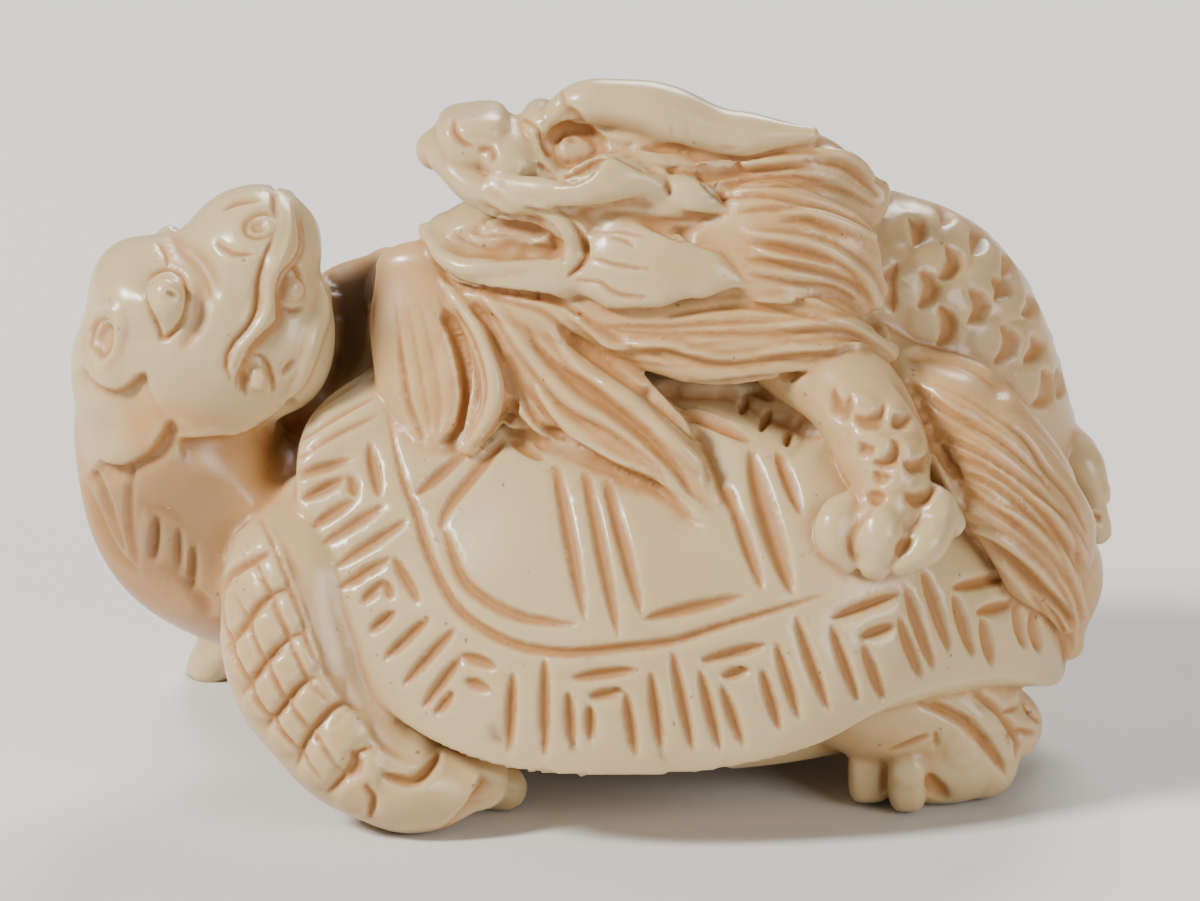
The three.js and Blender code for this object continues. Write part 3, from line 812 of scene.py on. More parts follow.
@dataclass
class DragonHead:
    """The dragon's head, its mouth a little open."""

    plane: float = -3.0
    lean: float = 0.3

    LOWER_ON_RIGHT = drawn("""
        -3.4,30 -2.5,29.8 -1.6,29.7 0.3,29.8 1.9,30 3.3,29.9 / 4.1,29.5 5.3,29.4 6.5,29.3 / -1.3,34.7
        -0.6,34.1 0,33.4 0.6,33.1 1.5,32.9 2.2,32.9
    """)
    HORN_EDGE = drawn("2.2,32.9 4.6,32.1 5.8,32.1 7.3,32.1 8.9,32.5 10.4,32.7")
    LOWER_ON_LEFT = drawn("""
        -1.9,30.6 -0.6,30.7 0.1,31.2 0.8,32 1.4,31.7 2.4,31.2 3.3,31.1 / 3.4,31.1 4.7,31.2 5.1,30.6
        6.5,29.4 / 7,25.9 6.2,25.4 5.1,25.1 4.4,24.5 3.3,24.7 1.9,24.9 0.3,24.9 / -0.4,28.9 0.9,29
        1.9,28.9 3,28.4 4,28 5.4,27.9 6.2,27.2 6.8,26.4 7,26
    """)
    MOUTH = drawn("""
        -5.5,30.4 -4.5,29.6 -3.2,29.1 -1.9,28.5 -1.4,27.9 -1.6,27.3 -2.3,27.1 -3.9,26.9 -5.5,26.9
    """)
    UNDER_JAW = drawn("-7.8,27.8 -6.4,26.4 -5,26 -3.4,25.8 -1.9,25.6 -0.8,25.1 0.3,24.7")
    ROLLS = drawn("""
        -5.1,30.8 -4.1,30.3 -3.2,29.8 -2.1,29.4 -1.3,28.7 -1,28 -1.1,27.3 -1.4,26.8 / -1.9,27.1 -3.4,27
        -4.7,26.9 -6.1,26.8 -7.1,27.3 -7.9,28.3 -8.2,29
    """)
    CORNER = drawn("-1,29.2 -0.6,28.5 -0.4,27.8 -0.5,27.1 -1.3,26.3")
    CREASES = drawn("""
        1.9,29.6 2.7,29.1 4.6,29 6.4,29.3 / -3.4,33.9 -2.8,33.4 -2.4,32.8 -2,32 / -5.4,32.3 -4.9,32.4
        -4.7,32 -4.8,31.6 / -6.6,33.9 -6.5,33.2 -6.2,32.7 -5.6,32.5 / 3.5,31 3.6,30.1 / -0.1,24.8
        1.3,24.7 2.2,24.8 3,24.7 / -2.6,31.8 -2.1,31.2 -1.6,31
    """)
    FINE_LINES = drawn("""
        -0.3,28.5 1.3,28.5 2.6,28.2 / 0.6,28.3 1.4,28.1 2.1,27.7 / -0.2,27.3 1.3,26.9 2.7,26.7 /
        -0.9,26.2 0.3,26.1 1,25.6 2.7,25.4 / -6.6,28.5 -6,28 -5,27.7 -3.7,27.8 / -5.9,28.6 -4.9,28.3
        -3.7,28.3 / -1.6,35.4 -1.3,34.3 -1,33.7 / -1,33.3 -1.1,32.8
    """)
    HORN_NICKS = drawn("3.6,33.6 3.7,33 / 4.3,33.6 4.5,32.7 / 5.8,32.5 6.8,32.4")

    def face(self, u: float, v: float) -> Point:
        """A place on the middle plane of the head."""
        return DRAWING.at(u, v, self.plane)

    def pair(
        self,
        block: Block,
        points: list[Point],
        radii: tuple[float, ...],
        flat: float = 1.0,
        grain: float = 0.25,
    ) -> None:
        """Adds a form on the near half of the head, and the same on its far half.

        Args:
            block: The block.
            points: Its course, as u, v and depth.
            radii: Half its width along its course.
            flat: Its thickness for its width.
            grain: The size of its faces.
        """
        near = [DRAWING.at(*p) for p in points]
        region = Region.DRAGON_FACE
        Limb(region, Path(near), radii, flat, NEAR, grain).shape(block)
        Limb(region, Path(across(near, self.plane, self.lean)), radii, flat, FAR, grain).shape(block)

    def shape(self, block: Block) -> None:
        """Adds the head to the block."""
        region = Region.DRAGON_FACE
        for u, v, y, radii, lean in (
            (6.6, 27, -2, (7.6, 5.6, 4.8), -8),
            (2.8, 30.6, self.plane, (6.2, 4.2, 3.4), -6),
            (-3.9, 32.4, self.plane, (2.2, 2.9, 1.5), -24),
            (-6.4, 28.4, self.plane, (1.5, 1.5, 1), -20),
            (-7.1, 32.6, self.plane, (1, 1.7, 0.95), 45),
            (-2.5, 33.8, self.plane, (0.9, 2, 0.9), 10),
            (-4.3, 28.2, self.plane, (3.1, 3, 1.8), -10),
            (-2.2, 28, self.plane, (2.3, 3.2, 1.5), -10),
            (-1.8, 28.1, -5.1, (1.2, 1, 1.1), 0),
            (7, 31.6, -0.6, (5.6, 3.6, 1.7), -3),
            (-4, 25, self.plane, (4, 3.9, 2.4), -20),
            (5.6, 31.3, self.plane, (4.6, 3, 1.7), -4),
        ):
            Egg(region, DRAWING.at(u, v, y), radii, lean, 0.28).shape(block)
        nose = self.face(-5.6, 33.1)
        Egg(region, nose, (1.75, 2.2, 1.3), 7, 0.2, 0.55).shape(block)
        muzzle = Path([self.face(*p) for p in ((2, 31.4), (-2, 31.7), (-5.2, 32.1), (-7.4, 32.4))])
        Limb(region, muzzle, (3.2, 2.7, 2.1, 1)).shape(block)
        chin = Path([self.face(*p) for p in ((3, 27.4), (-2, 26.6), (-6, 27))])
        Limb(region, chin, (3.8, 2.7, 1.8), 0.9).shape(block)
        horn = [
            (-2.6, 33.2, -4), (-0.9, 34.5, -4.2), (2.2, 34.4, -4.4),
            (6, 33.2, -4.6), (10.3, 33.1, -4.8),
        ]
        self.pair(block, horn, (0.5, 1.1, 1.4, 1.1, 0.4))
        lip = [
            (-7.2, 31.9, -4.2), (-5.2, 30.3, -5.4), (-2.4, 29.5, -6),
            (-0.8, 28.4, -6.4), (-1.2, 26.9, -6.4),
        ]
        self.pair(block, lip, (0.6, 0.8, 0.9, 0.8, 0.3))
        cheek = [(-4.8, 30.9, -5.8), (-1.8, 30.4, -6.8), (0.9, 31, -7.1), (3.4, 30.6, -6.9)]
        self.pair(block, cheek, (0.4, 0.7, 1.15, 0.45), 0.6)
        ear = [(2.6, 30.3, -6.5), (4.7, 30.2, -6.9), (6.7, 29.3, -6.7)]
        self.pair(block, ear, (0.6, 0.8, 0.12), 0.5)
        jaw = [(1.2, 26.8, -6.6), (-2.6, 26.3, -6.4), (-6, 26.9, -5.4), (-7.9, 28.6, -3.4)]
        self.pair(block, jaw, (0.8, 1, 0.9, 0.4))
        tongue = [(-6.4, 27.9, -4.4), (-4.2, 28.5, -5.4), (-2.1, 28.3, -6)]
        self.pair(block, tongue, (0.4, 0.75, 0.5), 0.7)
        frill = [
            (-0.9, 26.9, -6.7), (1.2, 26.9, -7.3), (3.6, 26.75, -7.8),
            (5.6, 26.4, -8), (7.1, 26, -8),
        ]
        self.pair(block, frill, (1.3, 2.1, 1.9, 1.2, 0.2), 0.38)

    def carve(self, carver: "Carver") -> None:
        """Cuts the face on both sides.

        Args:
            carver: The carver at work.
        """
        for mirror in (None, Mirror(self.plane, self.lean)):
            softer = {Region.DRAGON_FACE} if mirror else {Region.DRAGON_FACE, Region.HAIR}
            carver.look(softer, mirror)
            carver.dish(Dish((-0.9, 32.4), (1.6, 1.4), 0.65, 10, 0, 0.4))
            carver.dish(Dish((-4.6, 28.3), (2.8, 1.0), 0.35, -12, 0, 0.5))
            carver.press()
            carver.look({Region.DRAGON_FACE}, mirror)
            carver.dish(Dish((-0.85, 32.4), (0.95, 0.85), -0.4))
            carver.dish(Dish((-1, 32.7), (0.28, 0.25), 0.2, 0, 0, 0.8))
            cuts = steps(0.35, 0.9, self.LOWER_ON_RIGHT) + steps(0.4, 0.9, self.LOWER_ON_LEFT, left=True)
            cuts += steps(0.22, 0.8, self.HORN_EDGE)
            cuts += steps(0.3, 1.0, self.MOUTH) + steps(0.6, 1.2, self.UNDER_JAW)
            cuts += gouges(0.3, 0.1, self.HORN_NICKS, Tool.GRAVER)
            cuts += gouges(0.95, 0.35, self.ROLLS, Tool.RIDGE) + gouges(0.5, 0.45, self.CORNER)
            cuts += gouges(0.45, 0.3, self.CREASES) + gouges(0.32, 0.22, self.FINE_LINES, Tool.GRAVER)
            carver.strokes(cuts)


@dataclass
class Hair:
    """The dragon's mane and beard and the tress over the turtle's tail."""

    plane: float = -2.0
    lean: float = 0.3

    MANE_LINES = drawn("""
        5.1,30.1 6.8,30.2 8.3,30.2 10.1,29.8 11.4,29.5 12.4,29 13.8,28 / 2.7,31.8 5.1,31.2 7,31.3
        9.1,31.5 10.4,31.6 / 8.7,29 10.1,29 10.9,28.7 12,28.2 / 7.2,28 9.6,27.5 11.4,27 / 7.2,26.5
        9.5,26 11.3,25.8 12.5,25.2 / 8.9,25.2 10.1,25 11.4,24.6 12.2,24.4 / -0.6,24.3 1.5,23.8 4.9,23.7
        9.2,23.7 10.9,23.9 12.2,23.7 13.6,23 / -0.1,23.2 0.8,23 3.4,22.9 5.2,22.3 7.5,22.3 9.5,22.7
        11.4,22.8 13.1,22.5 13.9,22 / 3.2,24.4 5.1,24.8 7,25 9.4,24.7 10.8,24.3 12.2,23.9 / 0.3,24.1
        3.2,24 6,24.2 8.9,24.3 / 10.4,31.8 11.8,31.6 12.8,30.9 13.7,30 / 8,30.7 10.3,30.7 12.2,30.2
        13.4,29.5 / 6,30.8 8,31 9.9,31 11.3,30.7 / 6.8,29.4 8.4,29.6 9.9,29.5 / 2.2,32.5 4.1,32.4
        5.1,32
    """)
    MANE_HOLLOW = drawn("7.1,27.2 8.4,27 9.5,26.9 10.9,26.6 12.2,26 12.8,25.4")
    MANE_RIDGES = drawn("""
        8.8,29.5 10.1,29.4 11.4,29 12.7,28.5 13.7,28.1 / 6.8,28.5 8.3,28.3 10.1,28 11.4,27.5 12.7,26.5
        13.3,25.5 13.6,24.2 14.2,22.9 / 7.4,27.8 8.8,27.3 10.1,27 11.4,26.6 12.2,26.2 / 7.5,25.3
        9.5,25.3 10.9,24.8 12,24.3 13.4,23.8 / -1.6,25 0,23.9 1,23.2 3.4,23.2 4.9,22.8 6.5,22.5 /
        8.6,24 10.1,24.2 12,24.1 13.1,23.5 13.9,23 14.4,22.5 / 7.5,22.8 10.1,23 12.7,23 14,22.6 /
        10.4,32.4 11.8,32 12.7,31.5 13.3,30.9 / 4.6,31.7 7,31.7 9.4,31.9 10.6,32.1
    """)
    UNDER_MANE = drawn("1.9,21.3 3.9,21.5 5.6,21.6 7.9,21.8 10.2,22 12.5,22 14,21.9")
    BEARD_LINES = drawn("""
        -9.2,23.9 -9,22.1 -8.7,20.4 -8.2,19.1 -7.9,18.1 / -9.7,19.8 -9.4,17.6 -8.8,15.8 / -7.3,25.2
        -6.5,24.1 -5.9,22.8 -5.5,21.5 -5.4,20.4 -5.5,19.8 / -6.6,25.2 -5.8,23.7 -5.3,22.4 -5.1,21
        -5.3,19.8 / -3,23.4 -1.9,22.1 -0.5,20.9 1,19.8 2.5,18.5 3.7,17.2 / -2.3,21.3 -1.6,20.4
        -0.4,19.6 0.7,19.1 1.8,18.4 2.8,17.6 3.6,16.6 / -4.7,23.4 -3.9,22.4 -3.1,21 -1.9,19.6 -0.8,18.5
        / -1.2,23.4 0.2,22.5 1.6,21.5 2.7,20.7 / -7.7,26.7 -6.4,26 -4.7,25.6 -2.8,25.5 -1.2,25 0.6,23.7
        4.3,22.2 / -5.8,25.8 -3.9,25.2 -2.3,24.7 -1.2,23.7 0.2,22.9 1.6,22.4
    """)
    BEARD_GOUGES = drawn("""
        -5.8,25.2 -5,24.1 -4.5,23 -3.9,21.5 -3.8,20.3 -4.4,19.2 -5.4,18.3 / -3.2,24.1 -2.5,22.9
        -1.4,21.9 -0.4,21.3 0.9,20.2 2.2,19.2 3.5,17.8 4.2,16.9 4.8,15.8 / -3.9,22.4 -3.1,20.4
        -2.3,19.3 -1.3,18.7 -0.2,18.1 1,17.4 2.4,16.8 4.7,15.1
    """)
    BEARD_RIDGES = drawn("""
        -7.4,26.6 -6.4,25.2 -5.5,24 -4.9,22.6 -4.6,21.3 -4.7,20.2 -5.3,19.1 -6,18.3 / -5.8,26.2
        -4.5,24.8 -3.1,22.9 -2.1,21.7 -0.8,20.4 0.7,19.5 2.1,18.4 3.3,17.2 4.3,16.1 5.4,15 6.3,14 /
        -2.8,21.5 -1.6,19.8 -0.4,18.7 1,17.8 2.2,17.3 3.1,17 / -2,23.9 -1.4,23 -0.4,21.9 1,21 2,20.3
        3.3,19.1 4.7,17.8 5.5,17 6.2,15
    """)
    BEARD_EDGE = drawn("-4,21.3 -3.6,20.2 -2.7,19.1 -1.2,18.4 0.2,17.8 2,17 3.3,16.5 4.8,15.2 5.5,14.6")
    BEARD_LEFT_EDGES = drawn("""
        -7.5,24.7 -6.8,23.4 -6.4,21.8 -6.3,20.4 -6.7,19.2 -7.5,18.5 / -2,24.1 -1.2,23.2 0.2,22.1
        1.6,21.1 2.9,20.3 4.2,19.1 5,18.3 5.5,17.2 6.2,15.2
    """)
    RECESS = drawn("1.7,21.3 3.1,21.4 5.8,21.5 7.2,21.1 8.5,20.4 10.4,19.6 11.2,19")
    TAIL_LINES = drawn("""
        14.1,20.1 15.2,19 16.2,18.1 17.3,16.8 / 16.2,19 18,18.3 19.6,17.3 21.3,16 22.6,14.2 23.1,12.2 /
        16.6,18.1 18.3,17.5 20,16.4 21.4,15 22.5,13.3 23,11.5 / 17.3,17.2 18.8,16.6 20.4,15.4 21.7,13.8
        22.6,12 / 17.3,16.3 18.6,15.6 20,14.6 21.4,13 22.2,11.5 / 19,19.8 20.4,18.8 21.4,17.3 22.6,15.9
        23.4,14.2 / 14.8,21.6 16.7,20.1 18.8,19 20.4,17.7 22,15.9 / 17.8,15.5 19.3,14.7 20.5,13.7
        21.5,12.6 22.4,11.2 22.9,10.1 / 20.3,11.9 21,11 21.5,10.2 22.2,9 22.5,8 / 20.9,11.4 21.8,10.4
        22.6,9.2 / 20.4,10.4 20.7,9.6 21,8.4 / 21.1,10.2 21.5,9.2 21.7,8.1 / 21.7,10 22.2,9 22.3,7.8
    """)
    TAIL_RIDGES = drawn("""
        17.4,14.6 18.4,14.4 19.1,14.1 20.1,13.4 21,12.6 21.8,11.6 22.6,10.6 23,9.6 / 17.3,15.6
        18.6,15.1 19.9,14.3 21,13.3 21.8,12.2 22.6,11 23,8.7 / 19,15.6 20.5,14.8 21.7,13.7 22.6,12.4
        23.2,11 23.5,10.1 / 20.5,16.2 21.8,15.1 22.9,13.7 23.6,12.4
    """)
    TAIL_RECESS = drawn("17.1,14.1 18,13.9 19.3,13.2 20.3,12.4 21.1,11.6 21.9,11 22.6,10.2 22.9,9.5")
    FINE = (
        fan("-9.9,25.5 -9.7,22.5 -9,19.5 -8,17.9 / -7.3,25.6 -6.2,22.8 -6,20.5 -7,18.6", 4)
        + fan("-2,23.9 -0.2,21.8 2.9,19.5 6,15.2 / -4,22 -2.2,19.3 0.6,17.9 5,14.9", 5)
        + fan("15,22.4 18.4,20.6 21,18.2 23,15 23.8,12 / 17,15.6 18.6,14.9 20.3,13.9 21.8,12.2 22.8,9.5", 12)
        + fan("-2.5,25.2 3,24.2 8,25 13.8,23.6 / -0.5,22.8 3,21.8 8,21.9 13.8,22", 5)
        + fan("6.5,29.9 9.2,30 11.8,29.3 13.9,27.6 / 6.6,25.3 8.8,25.4 11.2,24.8 13.6,23.4", 5)
        + fan("3,33 7,32.3 11,32.6 14,30.9 / 4,30.6 7.5,30.3 11,30.1 13.8,28.6", 5)
    )
    SHELL_TICKS = drawn("7.3,20.9 7,19.9 / 8.4,20.1 7.9,19.1 / 9.4,19.1 9.1,18.4")

    def tress(
        self,
        block: Block,
        points: list[Point],
        radii: tuple[float, ...],
        facing: Point = NEAR,
        flat: float = 0.5,
        paired: bool = False,
    ) -> None:
        """Adds one flat tress, which is parted into strands when it is cut.

        Args:
            block: The block.
            points: Its course, as u, v and depth.
            radii: Half its width along its course.
            facing: Where its broad side looks.
            flat: Its thickness for its width.
            paired: True if the far half of the head has one too.
        """
        near = [DRAWING.at(*p) for p in points]
        Limb(Region.HAIR, Path(near), radii, flat, facing, 0.25).shape(block)
        if paired:
            far = across(near, self.plane, self.lean)
            Limb(Region.HAIR, Path(far), radii, flat, FAR, 0.25).shape(block)

    def shape(self, block: Block) -> None:
        """Adds all the hair to the block."""
        low = [
            (-3, 24.6, -6.2), (1, 24.2, -6.9), (5.5, 23.6, -7.5),
            (10.5, 23.7, -7.5), (14.2, 22.8, -6.6),
        ]
        self.tress(block, low, (1.3, 1.9, 2.3, 2.0, 0.45), paired=True)
        middle = [(5, 28, -6.4), (8.6, 28, -6.9), (11.2, 27.2, -6.6), (13, 25.2, -6.2)]
        self.tress(block, middle, (2.0, 2.9, 2.5, 1.2), flat=0.38, paired=True)
        top = [(5, 31.3, -4.4), (10, 31, -4.6), (13.4, 29.8, -3.6)]
        self.tress(block, top, (1.6, 2.3, 1.2), flat=0.45, paired=True)
        spread = [(-8, 27, -3.8), (-7.9, 24.2, -4.7), (-7.8, 21.2, -5.7), (-7.5, 18.5, -7.3)]
        self.tress(block, spread, (2.3, 2.7, 2.5, 1.5), (-0.2, -1, 0.3), 0.5)
        under = [(-3.9, 23.6, -6), (-3.3, 21.4, -6.9), (-2.8, 20, -7.7)]
        self.tress(block, under, (2, 2.2, 1.5), (0, -1, 0.3), 0.45)
        Egg(Region.HAIR, DRAWING.at(-2.5, 19.6, -7.6), (1.3, 1, 0.9)).shape(block)
        band = [(-7.2, 26.5, -4.2), (-4.8, 25.6, -6), (-1.8, 24.5, -6.9), (1.4, 23.9, -7.3)]
        self.tress(block, band, (0.8, 1, 1.1, 0.9), (0, -1, 0.3), 0.6)
        between = [(-6.9, 25.2, -4.9), (-6.2, 22.4, -5.9), (-6.4, 19.2, -7.3)]
        self.tress(block, between, (1.5, 1.8, 1.1), (0, -1, 0.3), 0.55)
        lock = [
            (-7.4, 27, -3.6), (-6.2, 25.2, -5.5), (-5.1, 23, -6.8),
            (-4.7, 20.9, -7.7), (-5.9, 18.3, -8.5),
        ]
        self.tress(block, lock, (0.7, 0.9, 1, 1.05, 0.5), (0, -1, 0.3), 0.7)
        sweep = [
            (-5.6, 26.6, -4.4), (-3.6, 24.4, -6.2), (-1.2, 21.8, -7.1),
            (1.8, 19.1, -8.7), (5.4, 15.6, -10.8),
        ]
        self.tress(block, sweep, (1.2, 1.9, 2.5, 2.2, 0.5), (0, -1, 0.3), 0.45)
        far = [(-6.6, 26.8, -1.6), (-9.4, 26.4, 1), (-11.8, 24.8, 4)]
        self.tress(block, far, (1.2, 2.2, 1.2), (-0.6, 0, 1))
        wall = [(-9, 25.6, 1.2), (-11, 24, 1.6), (-13, 21.6, 1.4), (-14.6, 19.4, 1)]
        self.tress(block, wall, (2.6, 3.4, 3, 1.6), (-0.5, -1, 0.4), 0.6)
        root = [
            (13.4, 22.6, -4.6), (17.2, 19.2, -5.4), (20.1, 15.2, -5),
            (22.2, 11.8, -3.8), (22.6, 9, -2.8),
        ]
        Limb(Region.TAIL, DRAWING.path(root), (1.5, 3.2, 3.4, 2.4, 0.8)).shape(block)
        over = [(14.6, 20.6, -6.4), (18.3, 18, -7.8), (21, 14.6, -7.4), (22.8, 10.2, -4.6)]
        self.tress(block, over, (1.4, 2.8, 2.9, 1), (0.5, -1, 0.4))
        behind = [(18, 14.4, 2.4), (21, 11.4, 3), (22.4, 9, 3)]
        self.tress(block, behind, (2.4, 3, 1.6), (1, 0.5, 0.4), 0.4)

    def carve(self, carver: "Carver") -> None:
        """Parts the hair into strands, on the far half of the head like on the near one.

        Args:
            carver: The carver at work.
        """
        over = {Region.HAIR, Region.DRAGON_FACE, Region.DRAGON_BODY, Region.SHELL, Region.TAIL}
        carver.look(over)
        carver.strokes(steps(0.8, 1.4, self.UNDER_MANE + self.RECESS))
        carver.strokes(steps(0.5, 1.2, self.BEARD_EDGE))
        carver.strokes(steps(0.5, 1.0, self.BEARD_LEFT_EDGES, left=True))
        carver.dish(Dish((-12.2, 24.2), (1.9, 3.8), 0.5, 14))
        # Painted shadow, spread wide, in the deep cavity between the turtle's head and the beard.
        carver.smear(Dish((-12, 24.2), (3.1, 4.3), 0, 14, 0.95), 16)
        carver.press()
        carver.look({Region.SHELL})
        carver.strokes(gouges(0.5, 0.35, self.SHELL_TICKS))
        carver.look({Region.HAIR}, Mirror(self.plane, self.lean))
        carver.strokes(gouges(0.45, 0.34, self.MANE_LINES, Tool.GRAVER))
        carver.strokes(gouges(0.3, 0.14, self.FINE, Tool.GRAVER))
        carver.strokes(gouges(0.7, 0.42, self.MANE_RIDGES, Tool.RIDGE))
        carver.look({Region.HAIR, Region.TAIL, Region.DRAGON_FACE})
        cuts = gouges(0.5, 0.3, self.MANE_LINES + self.BEARD_LINES + self.TAIL_LINES, Tool.GRAVER)
        cuts += gouges(0.26, 0.1, self.FINE, Tool.GRAVER) + gouges(0.7, 0.3, self.MANE_HOLLOW)
        cuts += gouges(0.7, 0.45, self.BEARD_GOUGES) + gouges(0.9, 0.5, self.TAIL_RECESS)
        cuts += gouges(0.7, 0.42, self.MANE_RIDGES + self.TAIL_RIDGES, Tool.RIDGE)
        cuts += gouges(0.95, 0.4, self.BEARD_RIDGES, Tool.RIDGE)
        carver.strokes(cuts)


@dataclass
class DragonPaws:
    """The dragon's near foreleg, its far one and the claws that show behind."""

    SCALES = drawn("""
        11.3,21.2 11.4,20.5 11.7,19.9 12,20.2 12.1,20.9 / 12.2,20 12.6,19.6 13.2,19.5 13.6,19.9
        13.7,20.5 / 13.1,17.8 13.7,17.5 14.1,17.8 14.3,18.3 14,18.8 / 13.1,17.2 13.6,16.9 14.1,17 /
        14.5,17.8 15,17.4 15.6,17.6 15.9,18.2 / 14.6,16.3 15.1,15.9 15.7,16 16,16.6 / 14,19.9 14.5,19.5
        14.9,19.9 / 12.5,18.6 12.9,18.2 13.3,18.4 / 12.8,16.2 13.3,16 13.8,16.1
    """)
    SWELLS = (
        (12.6, 20.2), (13.4, 18.3), (15, 18.1), (15.2, 16.6), (16.3, 15.6), (14.4, 20.2), (14.2, 17),
        (12.8, 18.9),
    )
    TOE = drawn("13.4,15.7 12.8,15.2 12.3,14.5 12.1,13.7 12.2,12.9")
    NAIL = drawn("15.1,14.1 14.6,13.7 14.2,13.1")
    REAR_TOE = drawn("23.2,15.2 24.4,14.9")
    OUTLINE = drawn("14,21.5 14.5,20.6 15.2,19.6 15.8,18.5 16.5,17.3 17.3,15.1")

    def far_leg(self) -> Limb:
        """The far foreleg."""
        path = Path([(5, 4, 24), (4, 7.6, 22), (-1, 10, 18.4), (-4, 11.4, 15.6)])
        return Limb(Region.DRAGON_LEG, path, (2.2, 2.2, 2, 1.4), facing=FAR)

    def shape(self, block: Block) -> None:
        """Adds the legs and the claws to the block."""
        draw = DRAWING
        region = Region.DRAGON_LEG
        fore = draw.path([(9.6, 23, -5.6), (12.4, 20.6, -7.8), (13.9, 17.2, -9.8), (13.9, 15.2, -10.8)])
        Limb(region, fore, (2.4, 2.3, 2.2, 1.6)).shape(block)
        for toe, bulk in (
            (
                [(12.4, 15.8, -10.4), (11.4, 14.9, -11.5), (11.4, 13.9, -11.8), (12, 13, -11.9)],
                (0.7, 0.9, 0.9, 0.6),
            ),
            ([(13.4, 15.7, -10.8), (13.5, 14.4, -12.1), (13.3, 12.9, -12.2)], (0.9, 1.15, 0.85)),
            ([(16.4, 15, -10.9), (15.6, 13.7, -12), (14.5, 13, -12.3)], (0.9, 1, 0.75)),
            ([(14.8, 16, -10.2), (16.2, 15.4, -10.6), (16.8, 14.8, -10.6)], (1.1, 1.1, 0.8)),
        ):
            Limb(Region.CLAW, draw.path(toe), bulk, grain=0.25).shape(block)
        Egg(Region.CLAW, draw.at(13.2, 14.4, -11), (2.3, 1.65, 1.6)).shape(block)
        Egg(Region.CLAW, draw.at(14.7, 14, -11.5), (1.2, 1, 1)).shape(block)
        Egg(Region.CLAW, draw.at(15.9, 14.9, -10.7), (1.4, 1.2, 1.2)).shape(block)
        self.far_leg().shape(block)
        far_palm = Path([(-2.8, 11.4, 16.6), (-4.4, 12.3, 15), (-5, 12.6, 14)])
        Limb(Region.CLAW, far_palm, (1.4, 2.2, 1.9), 0.55, FAR).shape(block)
        for end in ((-6.9, 12.4, 13.2), (-6, 13.2, 12.2), (-4.3, 13.4, 12)):
            toe = Path([(-4.4, 12.5, 15), ((end[0] - 4.6) / 2, end[1] + 0.1, end[2] + 1.6), end])
            Limb(Region.CLAW, toe, (1, 1.1, 0.8), grain=0.25).shape(block)
        rear = draw.path([(16.5, 20, 3.6), (20, 19.2, 3), (22.6, 17.6, 2.4)])
        Limb(region, rear, (2.6, 2.3, 1.7)).shape(block)
        for toe, bulk in (
            ([(22, 18.6, 2.2), (23.3, 17.5, 1.4), (24, 16.1, 1)], (1.1, 1.1, 0.75)),
            ([(22.6, 16.6, 2.8), (23.6, 15.4, 2.4), (24.1, 14.4, 2.2)], (1, 1, 0.75)),
            ([(22, 17, 5), (23, 15.2, 5), (23.2, 14, 5)], (1, 1.1, 0.8)),
        ):
            Limb(Region.CLAW, draw.path(toe), bulk, grain=0.25).shape(block)

    def carve(self, carver: "Carver") -> None:
        """Cuts the scales and the toes.

        Args:
            carver: The carver at work.
        """
        carver.look({Region.DRAGON_LEG, Region.CLAW, Region.TAIL, Region.HAIR, Region.SHELL})
        carver.strokes(steps(0.6, 1.2, self.OUTLINE, left=True))
        carver.look({Region.DRAGON_LEG, Region.CLAW})
        for spot in self.SWELLS:
            carver.dish(Dish(spot, (0.8, 0.75), -0.14))
        cuts = gouges(0.9, 0.34, self.SCALES, Tool.CRESCENT) + gouges(0.5, 0.16, self.TOE)
        cuts += gouges(0.8, 0.16, self.NAIL, Tool.CRESCENT) + gouges(0.6, 0.4, self.REAR_TOE)
        carver.strokes(cuts)
        carver.scales(Region.DRAGON_LEG, self.far_leg(), 1.6, 0.22)


class Tool(Enum):
    """What a cut is made with."""

    GOUGE = "gouge"
    GRAVER = "graver"
    RIDGE = "ridge"
    STEP = "step"
    CRESCENT = "crescent"
    HOLLOW = "hollow"


# How quickly a cut narrows to its ends. A step keeps its width.
NARROWING = {
    Tool.GOUGE: 0.45,
    Tool.GRAVER: 0.5,
    Tool.RIDGE: 0.5,
    Tool.CRESCENT: 0.9,
    Tool.HOLLOW: 0.25,
}


@dataclass(frozen=True)
class Cut:
    """One stroke of a tool along a line on the drawing, in millimetres.

    A step leaves the ground lower on the right of its line, or on the left where left is True.
    """

    tool: Tool
    line: tuple[Spot, ...]
    width: float
    depth: float
    left: bool = False


@dataclass(frozen=True)
class Dish:
    """A round hollow sunk into the drawing's near side, or a swelling where depth is negative.

    Its shade_and_dirt is the dark brown painted into it, mostly as painted shade, and its dye the brown
    stain.
    """

    spot: Spot
    radii: Spot
    depth: float
    lean: float = 0.0
    shade_and_dirt: float = 0.0
    dye: float = 0.0


@dataclass(frozen=True)
class Mirror:
    """The upright plane that one half of a form is the mirror of the other in."""

    plane: float
    lean: float = 0.0

    def places(self, places: np.ndarray) -> np.ndarray:
        """The places on the other side of the plane."""
        beyond = places[:, 1] - self.plane
        shift = np.stack([0 * beyond, -2 * beyond, 2 * self.lean * beyond], axis=1)
        return places + shift

    def outward(self, outward: np.ndarray) -> np.ndarray:
        """The mirrored directions."""
        return outward * np.array([1.0, -1.0, 1.0])


def gouges(width: float, depth: float, lines: tuple, tool: Tool = Tool.GOUGE) -> list[Cut]:
    """Cuts of one size along several lines.

    Args:
        width: How wide they are.
        depth: How deep they are.
        lines: Their lines on the drawing.
        tool: What they are cut with.

    Returns:
        The cuts, in the order of their lines.
    """
    return [Cut(tool, line, width, depth) for line in lines]


